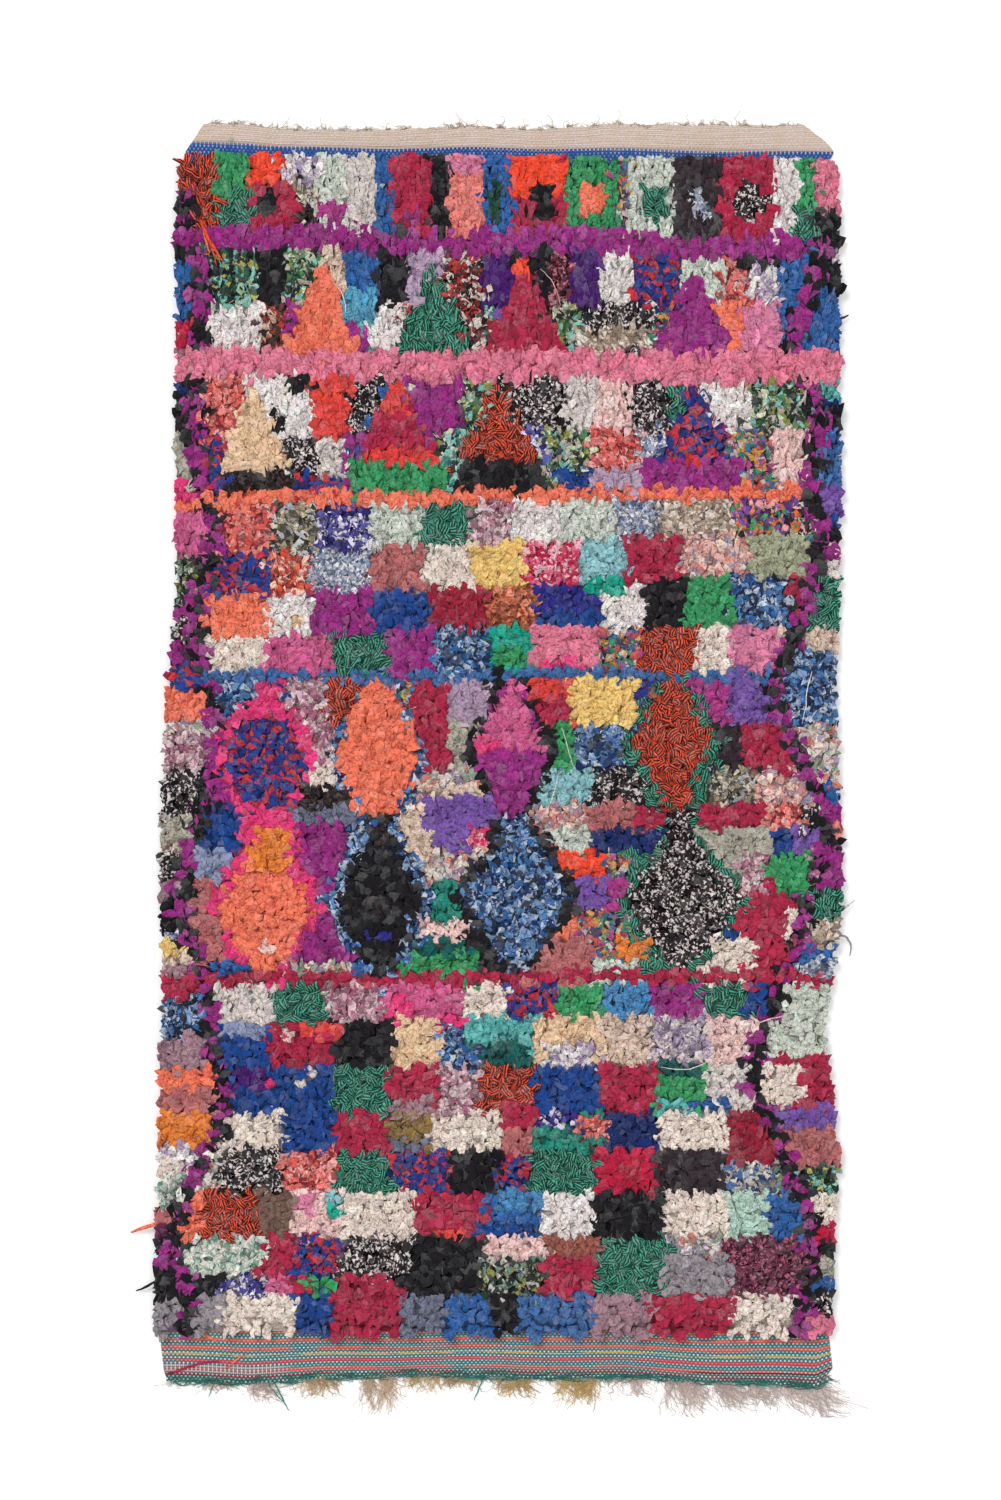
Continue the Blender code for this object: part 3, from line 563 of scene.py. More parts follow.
def chart(x, y):
    """The number of the cloth that the chart gives at each point, in centimetres."""
    number = np.zeros(len(x), int)
    level = y - rise(x, y)
    for course in COURSES:
        here = (level <= course.top) & (level > course.bottom)
        left = -np.inf
        for block in course.blocks.split(","):
            cloth, right = block.split()
            paint(number, here & (x > left) & (x <= float(right)), cloth)
            left = float(right)
    paint_side(number, x, y, LEFT_CHAIN, LEFT_BORDER)
    paint_side(number, x, y, RIGHT_CHAIN, RIGHT_BORDER)
    for shape in SHAPES:
        paint(number, inside(shape, x, y), shape.cloth)
    for line in LINES:
        middle = np.interp(x, (-66, 68), (line.left, line.right)) + 0.35 * np.sin(x * 0.11)
        within = (x > line.start) & (x < line.stop)
        paint(number, within & (np.abs(y - middle) < line.half_height), line.cloth)
    return number


GROUND_POINTS = np.array([point.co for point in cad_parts["ground_weave"].data.vertices])


def cad_edge(chosen, along, across, at):
    """One edge of the CAD's ground cloth, as its coordinate across at each place along it."""
    edge = GROUND_POINTS[chosen]
    edge = edge[np.argsort(edge[:, along])]
    return np.interp(at, edge[:, along], edge[:, across])


def cloth_edges(y):
    """The X of the ground cloth's left and right edge at each Y."""
    return [cad_edge(GROUND_POINTS[:, 0] * side > 0.55, 1, 0, y) for side in (-1, 1)]


def head_edge(x):
    """The Y of the ground cloth's head edge at each X."""
    return cad_edge(GROUND_POINTS[:, 1] > 1.25, 0, 1, x)


def foot_edge(x):
    """The Y of the ground cloth's foot edge at each X."""
    return cad_edge(GROUND_POINTS[:, 1] < -1.2005, 0, 1, x)


def new_mesh(name, points, faces, corner_uv=None, colours=None, vectors=None, smooth_angle=0.5):
    """A mesh object made from arrays. faces holds one array for each number of corners."""
    mesh = bpy.data.meshes.new(name)
    points = points.reshape(-1, 3)
    mesh.vertices.add(len(points))
    mesh.vertices.foreach_set("co", points.ravel())
    corners = np.concatenate([f.ravel() for f in faces])
    sizes = np.concatenate([np.full(len(f), f.shape[1]) for f in faces])
    starts = np.concatenate(([0], np.cumsum(sizes)[:-1]))
    mesh.loops.add(len(corners))
    mesh.loops.foreach_set("vertex_index", corners)
    mesh.polygons.add(len(sizes))
    mesh.polygons.foreach_set("loop_start", starts)
    if corner_uv is not None:
        layer = mesh.uv_layers.new(name="OFBake")
        layer.data.foreach_set("uv", corner_uv.ravel())
    for key, values in (colours or {}).items():
        rgba = np.concatenate((values.reshape(-1, 3), np.ones((len(points), 1))), axis=1)
        mesh.attributes.new(key, "FLOAT_COLOR", "POINT").data.foreach_set("color", rgba.ravel())
    for key, values in (vectors or {}).items():
        mesh.attributes.new(key, "FLOAT_VECTOR", "POINT").data.foreach_set("vector", values.ravel())
    mesh.update(calc_edges=True)
    mesh.validate()
    mesh.shade_smooth()
    mesh.set_sharp_from_angle(angle=smooth_angle)
    piece = bpy.data.objects.new(name, mesh)
    bpy.context.scene.collection.objects.link(piece)
    return piece


# Rag ends

# A rag's shape ring by ring, from its knot to its torn tip: share of its reach, of its height and
# of its width
RAG_PROFILE = np.array((
    (0.00, 0.10, 0.60), (0.12, 0.80, 1.00), (0.60, 0.98, 1.00), (1.05, 0.92, 1.00)))
# The four points of its folded cross-section: share of the width, of the fold and of the thickness
CROSS_SECTION = np.array(((-0.5, -0.35, 0), (0, 0.65, 0), (0.5, -0.35, 0), (0, 0.65, -1)))
CREASE_POINTS = np.array((0, 1, 0, 1))
# The same four sides laid out across one cell of the bake
CELL_COLUMNS = np.array((0, 0.42, 0.84, 0.92, 1.0))

Ends = namedtuple("Ends", "x y lie reach height width tip fold roll cloth")


def row_of_knots(y, rng):
    """The X of each knot in one row."""
    left, right = (float(edge[0]) for edge in cloth_edges(np.array([y])))
    left, right = left - SELVEDGE_INSET + MARGIN, right + SELVEDGE_INSET - MARGIN
    count = int((right - left) / KNOT_STEP)
    knots = left + (np.arange(count) + rng.uniform(0, 1)) * KNOT_STEP
    return knots + rng.uniform(-0.2, 0.2, count) * KNOT_STEP


def edge_knots(rng):
    """Knots set closer together down the two sides, so that the rug's edge is thick with rags."""
    y = np.arange(PILE_FOOT, PILE_HEAD, EDGE_STEP)
    y = y + rng.normal(0, 0.002, len(y))
    left, right = cloth_edges(y)
    inset = rng.uniform(0.002, 0.008, (2, len(y)))
    return np.concatenate((left + inset[0], right - inset[1])), np.tile(y, 2)


def rag_ends():
    """Every rag end of the rug: its knot, and how it rises and lies over."""
    rng = np.random.default_rng(27)
    rows = np.arange(PILE_FOOT + ROW_PITCH / 2, PILE_HEAD, ROW_PITCH)
    knots = [row_of_knots(row, rng) for row in rows]
    side_x, side_y = edge_knots(rng)
    x = np.concatenate(knots + [side_x])
    y = np.concatenate((np.repeat(rows, [len(row) for row in knots]), side_y))
    # Each knot shows both ends of its rag, one to either hand
    hand = np.repeat((-1, 1), len(x))
    count = len(hand)
    x = np.tile(x, 2) + hand * END_SPREAD + rng.normal(0, 0.0016, count)
    y = np.tile(y, 2) + rng.normal(0, 0.0048, count)
    leafy = np.clip((y - 0.35) / 0.4, 0, 1)
    reach = rng.uniform(*RAG_REACH, count) * (1 + 0.30 * leafy)
    lie = ways_to_lie(x, y, reach, hand, rng)
    cloth = cloth_seen(x, y, lie, reach)
    plain, broad, pale = IS_PLAIN[cloth], IS_BROAD[cloth], IS_PALE[cloth]
    # Striped and printed rags lie every way
    lie = np.where(plain, lie, lie + rng.normal(0, 0.6, count))
    width = np.where(broad, rng.uniform(*BROAD_RAG, count), rng.uniform(*NARROW_RAG, count))
    width = width * np.where(broad, 1, 1 - 0.20 * leafy)
    tip = np.where(broad | ~plain, rng.uniform(0.40, 0.95, count), rng.uniform(0.15, 0.80, count))
    crest = rng.uniform(*CREST, count)
    crest = np.where(pale, CREST_MIDDLE + (crest - CREST_MIDDLE) * 0.6, crest)
    crest = crest + 0.0012 * np.sin(y / TUFT_PITCH * 2 * np.pi)
    left, right = cloth_edges(y)
    rim = np.clip(np.minimum(x - left, right - x) / 0.035, 0, 1)
    foot = np.clip((y - PILE_FOOT) / 0.03, 0, 1)
    height = crest * (0.60 + 0.40 * np.minimum(rim, foot))
    fold = width * rng.uniform(-0.20, 0.36, count) * np.where(plain, 1, 0.35)
    roll = rng.normal(0, 0.19, count) * np.where(plain, 1, 0.6) * np.where(pale, 0.6, 1)
    return Ends(x, y, lie, reach, height, width, tip, fold, roll, cloth)


def ways_to_lie(x, y, reach, hand, rng):
    """Which way each rag lies: towards the head, but outwards at the sides and down at the foot.

    Shortens the rags that would reach far past the rug's sides or over the blue band.
    """
    count = len(x)
    looseness = np.interp(y, (-0.5, 0.0, 0.5, 0.8), (0.75, 0.6, 0.45, 0.26))
    lie = np.pi / 2 + (rng.normal(0, 1, count) - hand * 0.5) * looseness
    strays = rng.random(count) < 0.10
    lie[strays] = rng.uniform(0, 2 * np.pi, strays.sum())
    left, right = cloth_edges(y)
    near = np.minimum(x - left, right - x)
    lean_out = rng.random(count) < np.clip(1 - (near - 0.002) / 0.016, 0, 1) * 0.7
    lean_out &= y < 1.13
    side = np.where(x < 0, -1, 1)
    lie = np.where(lean_out, np.pi / 2 - side * rng.uniform(0.35, 1.9, count), lie)
    at_foot = (y < PILE_FOOT + 0.012) & (rng.random(count) < 0.5)
    lie = np.where(at_foot, -np.pi / 2 + rng.normal(0, 0.5, count), lie)
    past = np.cos(lie) * reach * side - near
    reach *= np.clip(1 - (past - rng.uniform(0, 0.009, count)) / 0.02, 0.35, 1)
    above = y + np.sin(lie) * reach * 1.05 - TIPS_END - HEAD_SLANT * x
    reach *= np.clip(1 - (above - rng.uniform(-0.002, 0.003, count)) / 0.024, 0.30, 1)
    return lie


def cloth_seen(x, y, lie, reach):
    """The cloth of each rag, which the chart gives where the camera sees the middle of the rag."""
    grown = CAMERA_HIGH / (CAMERA_HIGH - PILE_TOP)
    seen_x = x + np.cos(lie) * reach * 0.3
    seen_y = y + np.sin(lie) * reach * 0.3
    seen_x = FRAME_MIDDLE[0] + (seen_x - FRAME_MIDDLE[0]) * grown
    seen_y = FRAME_MIDDLE[1] + (seen_y - FRAME_MIDDLE[1]) * grown
    return chart(seen_x / CM, seen_y / CM)


def along_rag(ends, profile, rng):
    """The points of each rag end, and where each lies on its cut cloth."""
    count, rings = len(ends.x), len(profile)
    noise = rng.normal(0, 1, (count, rings, 4))
    out = profile[:, 0] * ends.reach[:, None]
    up = PILE_SEAT + profile[:, 1] * (ends.height - PILE_SEAT)[:, None]
    up = up + noise[:, :, 0] * 0.0009 * (profile[:, 1] > 0.3)
    wide = profile[:, 2] * ends.width[:, None] * (1 + 0.14 * noise[:, :, 1])
    wide[:, -1] = wide[:, -1] * ends.tip
    fold = ends.fold[:, None] * (1 + 0.5 * noise[:, :, 2]) * np.minimum(profile[:, 2], 1)
    sway = np.cumsum(noise[:, :, 3], axis=1) * 0.0011
    ahead = np.stack((np.cos(ends.lie), np.sin(ends.lie), np.zeros(count)), axis=1)
    aside = np.stack((np.sin(ends.lie), -np.cos(ends.lie), np.zeros(count)), axis=1)
    middle = (ahead[:, None] * out[..., None] + aside[:, None] * sway[..., None])
    middle[..., 0] += ends.x[:, None]
    middle[..., 1] += ends.y[:, None]
    middle[..., 2] += up
    way = np.gradient(middle, axis=1)
    way /= np.linalg.norm(way, axis=2, keepdims=True)
    face = np.cross(np.broadcast_to(aside[:, None], way.shape), way)
    roll = ends.roll[:, None] + np.cumsum(rng.normal(0, 0.16, (count, rings)), axis=1)
    side = aside[:, None] * np.cos(roll)[..., None] + face * np.sin(roll)[..., None]
    face = np.cross(side, way)
    share = CROSS_SECTION
    across = share[:, 0] + CREASE_POINTS * rng.uniform(-0.22, 0.22, (count, 1, 1))
    points = (middle[:, :, None]
              + side[:, :, None] * (across * wide[..., None])[..., None]
              + face[:, :, None] * (share[:, 1] * fold[..., None] + share[:, 2] * RAG_THICK)[..., None])
    skew = rng.normal(0, 0.30, count)[:, None, None] * (profile[:, 0] > 0.9)[None, :, None]
    points += ahead[:, None, None] * (skew * across * wide[..., None])[..., None]
    points += rng.normal(0, 0.0014, (count, len(profile), 3, 3))[:, :, (0, 1, 2, 1)]
    points[..., 2] = np.clip(points[..., 2], PILE_SEAT, PILE_TOP)
    length = np.cumsum(np.linalg.norm(np.diff(middle, axis=1, prepend=middle[:, :1]), axis=2), axis=1)
    cut = np.empty(points.shape)
    cut[..., 0] = across * wide[..., None]
    cut[..., 1] = length[..., None]
    cut[..., 2] = rng.uniform(0, 20, count)[:, None, None]
    return points, cut


def rag_faces(count, rings, sides=4):
    """The quads along each rag end and the caps at its knot and tip."""
    first = np.arange(count)[:, None, None] * rings * sides
    ring = np.arange(rings - 1)[None, :, None] * sides
    side = np.arange(sides)[None, None, :]
    after = (side + 1) % sides
    quads = np.stack((first + ring + side, first + ring + after,
                      first + ring + sides + after, first + ring + sides + side), axis=-1)
    tip = first[:, 0] + (rings - 1) * sides + side[0]
    knot = first[:, 0] + side[0, :, ::-1]
    return quads.reshape(-1, 4), np.concatenate((knot, tip))


def rag_cells(count, rings, columns=CELL_COLUMNS):
    """Bake coordinates: a cell of one square grid for each rag end, unrolled."""
    grid = int(np.ceil(np.sqrt(count)))
    number = np.arange(count)
    origin = np.stack((number % grid, number // grid), axis=1) / grid
    size = 0.94 / grid
    row = np.linspace(0.06, 0.94, rings)
    sides = len(columns) - 1
    corner_u = np.stack((columns[:-1], columns[1:], columns[1:], columns[:-1]), axis=-1)
    corner_v = np.stack((row[:-1], row[:-1], row[1:], row[1:]), axis=-1)
    cell = np.empty((rings - 1, sides, 4, 2))
    cell[..., 0] = corner_u[None]
    cell[..., 1] = corner_v[:, None]
    quads = origin[:, None, None, None] + size * cell[None]
    turn = np.arange(sides) / sides * 2 * np.pi
    cap = np.stack((0.5 + 0.4 * np.sin(turn), 0.025 + 0.02 * np.cos(turn)), axis=1)
    knot, tip = cap[::-1], cap + (0, 0.95)
    caps = [origin[:, None] + size * cap[None] for cap in (knot, tip)]
    return np.concatenate((quads.ravel(), caps[0].ravel(), caps[1].ravel()))


def rag_colours(ends, rings, rng):
    """The dye and the two print colours of each point of each rag end."""
    count = len(ends.x)
    dyes = np.empty((count, 3, 3))
    for number in np.unique(ends.cloth):
        cloth = CLOTHS[CLOTH_NAMES[number]]
        here = np.flatnonzero(ends.cloth == number)
        pick = np.arange(3) + np.zeros((len(here), 1), int)
        if cloth.weave in ("mottled", "dappled"):
            pick = rng.integers(0, len(cloth.dyes), (len(here), 3))
        dyes[here] = np.array(cloth.dyes)[pick]
    strength = np.exp(rng.normal(0, 0.10, (count, 1, 1)))
    shift = np.exp(rng.normal(0, 0.018, (count, 1, 3)))
    worn = 1 - rng.random((count, 1, 1)) ** 3 * 0.12
    dyes = dyes * strength * shift * worn + (1 - worn) * 0.6
    dyes = np.clip(dyes, 0.004, 0.92)
    each = rings * len(CROSS_SECTION)
    names = ("dye", "print_one", "print_two")
    return {name: np.repeat(dyes[:, i], each, axis=0) for i, name in enumerate(names)}


def rag_ball(name, ends, seed):
    """All the rag ends of one ball of cloth, as one joined mesh."""
    rng = np.random.default_rng(seed)
    points, cut = along_rag(ends, RAG_PROFILE, rng)
    count, rings = len(ends.x), len(RAG_PROFILE)
    quads, caps = rag_faces(count, rings)
    colours = rag_colours(ends, rings, rng)
    uv = rag_cells(count, rings)
    return new_mesh(name, points, (quads, caps), uv, colours, {"cut": cut.reshape(-1, 3)})


# Sheets

def closed_sheet(name, x, y, top, seat, bake_v, colours, vectors):
    """A closed sheet: a fine grid on top, one flat face below, and a narrow side all round."""
    rows, columns = x.shape
    number = np.arange(rows * columns).reshape(rows, columns)
    quads = np.stack((number[:-1, :-1], number[:-1, 1:], number[1:, 1:], number[1:, :-1]), axis=-1)
    rim = np.concatenate((number[0, :-1], number[:-1, -1], number[-1, :0:-1], number[:0:-1, 0]))
    under = rows * columns + np.arange(len(rim))
    sides = np.stack((np.roll(rim, -1), rim, under, np.roll(under, -1)), axis=-1)
    points = np.stack((x, y, top), axis=-1).reshape(-1, 3)
    below = points[rim].copy()
    below[:, 2] = seat
    across = np.broadcast_to(np.linspace(0.002, 0.998, columns), x.shape)
    down = np.broadcast_to(bake_v[:, None], x.shape)
    flat = np.stack((across, down * 0.92), axis=-1).reshape(-1, 2)
    quads = quads.reshape(-1, 4)
    side_uv = flat[np.stack((np.roll(rim, -1), rim, rim, np.roll(rim, -1)), axis=-1)]
    low = (below[::-1, :2] - below[:, :2].min(axis=0)) / np.ptp(below[:, :2], axis=0)
    low = low * (0.99, 0.05) + (0.005, 0.94)
    uv = np.concatenate((flat[quads].ravel(), side_uv.ravel(), low.ravel()))
    faces = (np.concatenate((quads, sides)), under[::-1][None])
    spread = {key: np.concatenate((v, v[rim])) for key, v in colours.items()}
    places = {key: np.concatenate((v, v[rim])) for key, v in vectors.items()}
    return new_mesh(name, np.concatenate((points, below)), faces, uv, spread, places)


def waves(x, y, seed, size, count=7):
    """A gentle random unevenness from a few crossing waves, about one unit high."""
    rng = np.random.default_rng(seed)
    total = np.zeros(np.broadcast(x, y).shape)
    for _ in range(count):
        turn, phase = rng.uniform(0, 2 * np.pi, 2)
        pitch = size * rng.uniform(0.5, 1.6)
        total = total + np.sin((x * np.cos(turn) + y * np.sin(turn)) / pitch * 2 * np.pi + phase)
    return total / np.sqrt(count)


def weft_wave(x):
    """How far the foot band's wefts wander up and down across the rug."""
    return sum(high * np.sin(x * pitch + start) for pitch, start, high in WEFT_WAVES)


def ground_cloth():
    """The cotton ground with its flat bands: real ribs at the foot, plain under the pile."""
    foot_rows = np.arange(FOOT_NOMINAL, FOOT_BAND_TOP, PICK / 3)
    pile_rows = np.arange(FOOT_BAND_TOP, BLUE_BAND_FOOT, 0.060)
    head_rows = np.linspace(BLUE_BAND_FOOT, HEAD_NOMINAL, 20)
    ys = np.concatenate((foot_rows, pile_rows, head_rows))
    share = np.linspace(0, 1, 160)
    left, right = cloth_edges(ys)
    up = np.clip((ys - BLUE_BAND_FOOT) / (HEAD_NOMINAL - BLUE_BAND_FOOT), 0, 1)
    right = right + HEAD_SHOULDER * np.sin(up * np.pi)
    x = left[:, None] + (right - left)[:, None] * share
    flat_y = np.repeat(ys[:, None], len(share), axis=1)
    to_head = np.clip((flat_y - BLUE_BAND_FOOT) / (HEAD_NOMINAL - BLUE_BAND_FOOT), 0, 1)
    to_foot = np.clip((FOOT_BAND_TOP - flat_y) / (FOOT_BAND_TOP - FOOT_NOMINAL), 0, 1)
    ragged = HEAD_RAGGED * (1 + 0.35 * waves(x, 0 * x, 5, 0.03)) * to_head ** 3
    y = flat_y + to_head * (head_edge(x) - HEAD_NOMINAL) + ragged
    y = y + to_foot * (foot_edge(x) - FOOT_NOMINAL)
    rib = np.abs(np.sin((flat_y - weft_wave(x) * to_foot) / PICK * np.pi))
    top = 0.0021 + 0.0008 * rib * np.clip(to_foot * 8, 0, 1)
    top = top + 0.0004 * waves(x, y, 3, 0.20) * (to_head + to_foot)
    top = top + 0.0007 * waves(x, y * 2.5, 6, 0.045) * to_head
    top = top + 0.0009 * np.clip(to_foot * 9 - 8, 0, 1) + 0.0004 * to_head
    bake_v = np.interp(ys, (FOOT_NOMINAL, FOOT_BAND_TOP, BLUE_BAND_FOOT, HEAD_NOMINAL),
                       (0, 0.55, 0.68, 1))
    place = np.stack((x, flat_y, 0 * x), axis=-1).reshape(-1, 3)
    return closed_sheet("ground_cloth", x, y, top, 0.0, bake_v, {}, {"place": place})


def rag_roots():
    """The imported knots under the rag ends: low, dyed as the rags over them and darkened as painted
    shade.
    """
    ys = np.arange(PILE_FOOT - 0.002, PILE_HEAD + 0.002, 0.021)
    left, right = cloth_edges(ys)
    share = np.linspace(0, 1, 66)
    x = left[:, None] + (right - left)[:, None] * share
    y = np.repeat(ys[:, None], len(share), axis=1)
    rim = np.minimum(share, 1 - share) * 1.3
    end = np.minimum(y - ys[0], ys[-1] - y)
    near = np.clip(np.minimum(rim[None], end) / 0.03, 0, 1)
    top = 0.0046 + near * (0.0155 + 0.0016 * waves(x, y, 8, 0.05))
    table = np.array([CLOTHS[name].dyes[0] for name in CLOTH_NAMES])
    # The dye darkened as painted shade, for the gaps between the rags
    dye = table[chart(x.ravel() / CM, y.ravel() / CM)] * 0.9
    bake_v = np.linspace(0, 1, len(ys))
    cut = np.stack((x, y, 0 * x), axis=-1).reshape(-1, 3)
    return closed_sheet("rag_roots", x, y, top, 0.0034, bake_v, {"dye": dye}, {"cut": cut})


# Yarns and strips

def tubes(name, paths, half_width, half_thick, dyes, sides=3):
    """Many yarns or narrow strips as one joined mesh, each along its own path."""
    count, rings = paths.shape[:2]
    way = np.gradient(paths, axis=1)
    way /= np.linalg.norm(way, axis=2, keepdims=True)
    side = np.cross(way, (0, 0, 1))
    side /= np.linalg.norm(side, axis=2, keepdims=True)
    face = np.cross(side, way)
    turn = np.arange(sides) / sides * 2 * np.pi + np.pi / sides
    wide = np.broadcast_to(half_width, (count, rings))[..., None, None]
    thick = np.broadcast_to(half_thick, (count, rings))[..., None, None]
    points = (paths[:, :, None] - side[:, :, None] * np.cos(turn)[:, None] * wide
              + face[:, :, None] * np.sin(turn)[:, None] * thick)
    quads, caps = rag_faces(count, rings, sides)
    uv = rag_cells(count, rings, np.linspace(0, 1, sides + 1))
    length = np.cumsum(np.linalg.norm(np.diff(paths, axis=1, prepend=paths[:, :1]), axis=2), axis=1)
    cut = np.zeros(points.shape)
    cut[..., 0] = np.cos(turn) * wide[..., 0]
    cut[..., 1] = length[..., None]
    cut[..., 2] = np.arange(count)[:, None, None] * 0.37
    dye = np.repeat(dyes, rings * sides, axis=0)
    colours = {key: dye for key in ("dye", "print_one", "print_two")}
    return new_mesh(name, points, (quads[:, ::-1], caps[:, ::-1]), uv, colours,
                    {"cut": cut.reshape(-1, 3)}, smooth_angle=2.0)


def curly_paths(root, length, lean, rng, rings, curl):
    """Paths that run down the rug from their roots, curling as they go, those of a lock alike."""
    count = len(root)
    share = np.linspace(0, 1, rings)
    locks = np.cumsum(rng.normal(0, 1, (len(root) // LOCK_YARNS + 1, rings, 2)), axis=1)
    own = np.cumsum(rng.normal(0, 1, (count, rings, 2)), axis=1)
    lock = np.argsort(np.argsort(root[:, 0])) // LOCK_YARNS
    wander = (locks[lock] * 1.3 + own * 0.35) * curl / rings
    wander -= wander[:, :1]
    middles = np.bincount(lock, root[:, 0]) / np.bincount(lock)
    pinch = np.clip((middles[lock] - root[:, 0])[:, None], -0.01, 0.01)
    pinch = pinch * 0.8 * np.sin(share * 2.2)
    swing = rng.uniform(0, 2 * np.pi, (count, 1))
    turns = share * rng.uniform(3, 12, (count, 1)) + swing
    loops = curl[..., 0] * rng.uniform(0.02, 0.20, (count, 1)) * LOOPY[lock % len(LOOPY)][:, None]
    paths = np.empty((count, rings, 3))
    paths[..., 0] = root[:, :1] + lean[:, None] * share ** 1.4 + wander[..., 0] + pinch
    paths[..., 0] += (np.cos(turns) - np.cos(swing)) * loops
    paths[..., 1] = root[:, 1:2] - length[:, None] * share + wander[..., 1] * 0.5
    paths[..., 1] += (np.sin(turns) - np.sin(swing)) * loops
    paths[..., 2] = 0.0011 + rng.uniform(0, 0.0026, (count, 1)) * np.sin(share * 3.0 + 0.15)
    return paths


def foot_fringe():
    """The warp ends at the foot, in frayed bunches of fine curly yarn, with short fuzz between."""
    rng = np.random.default_rng(41)
    roots, lengths, leans, dyes = [], [], [], []

    def add_yarns(left, right, count, length, lean, yarn):
        x = rng.uniform(left, right, count)
        y = foot_edge(x) + 0.004
        roots.append(np.stack((x, y), axis=1))
        lengths.append(np.minimum(length * rng.uniform(0.30, 1.12, count) + 0.006, y - FRINGE_LIMIT))
        leans.append(lean + rng.normal(0, 0.016, count))
        dyes.append(linear(yarn) * np.exp(rng.normal(0, 0.14, (count, 1))))

    for bunch in BUNCHES:
        count = int((bunch.right - bunch.left) / YARN_STEP)
        add_yarns(bunch.left, bunch.right, count, bunch.length, bunch.lean, bunch.yarn)
    for yarn, count, length, lean in FUZZ:
        add_yarns(*FOOT_ENDS, count, length, lean, yarn)
    root, length = np.concatenate(roots), np.concatenate(lengths)
    curl = np.clip(length[:, None, None] * 0.9, 0.008, 0.030)
    paths = curly_paths(root, length, np.concatenate(leans), rng, 8, curl)
    paths[..., 1] = np.maximum(paths[..., 1], FRINGE_LIMIT)
    radius = rng.uniform(0.0005, 0.0010, (len(root), 1)) * np.linspace(1, 0.6, 8)
    return tubes("foot_fringe", paths, radius, radius, np.concatenate(dyes))


def head_frays():
    """Short threads and a few long ones along the cut head edge."""
    rng = np.random.default_rng(43)
    count = 440
    x = rng.uniform(*FRAY_ENDS, count)
    root = np.stack((x, head_edge(x) + HEAD_RAGGED - 0.002), axis=1)
    length = rng.uniform(0.003, 0.011, count) + 0.016 * (rng.random(count) < 0.05)
    curl = np.clip(length[:, None, None] * 1.2, 0.006, 0.020)
    paths = curly_paths(root, -length, rng.normal(0, 0.008, count), rng, 7, curl)
    paths[..., 1] = np.minimum(paths[..., 1], HEAD_LIMIT)
    radius = rng.uniform(0.0004, 0.0008, (count, 1)) * np.linspace(1, 0.6, 7)
    dyes = np.array([linear(yarn) for yarn in HEAD_YARNS])[rng.integers(0, len(HEAD_YARNS), count)]
    return tubes("head_frays", paths, radius, radius, dyes * np.exp(rng.normal(0, 0.12, (count, 1))))


def foot_roll():
    """The last wefts of the foot, rolled and frayed into a thick uneven edge."""
    rng = np.random.default_rng(47)
    count, rings = 260, 8
    share = np.linspace(0, 1, rings)
    x = rng.uniform(-0.640, 0.650, (count, 1)) + rng.uniform(0.015, 0.050, (count, 1)) * share
    x = np.minimum(x, 0.682)
    drift = np.cumsum(rng.normal(0, 0.0012, (count, rings)), axis=1)
    paths = np.empty((count, rings, 3))
    paths[..., 0] = x
    paths[..., 1] = foot_edge(x) + rng.uniform(-0.004, 0.007, (count, 1)) + drift
    paths[..., 2] = 0.0028 + rng.uniform(0, 0.0022, (count, 1)) * np.sin(share * np.pi)
    radius = rng.uniform(0.0006, 0.0014, (count, 1)) * np.ones(rings)
    return tubes("foot_roll", paths, radius, radius,
                 linear(ROLL_TEAL) * np.exp(rng.normal(0, 0.25, (count, 1))))


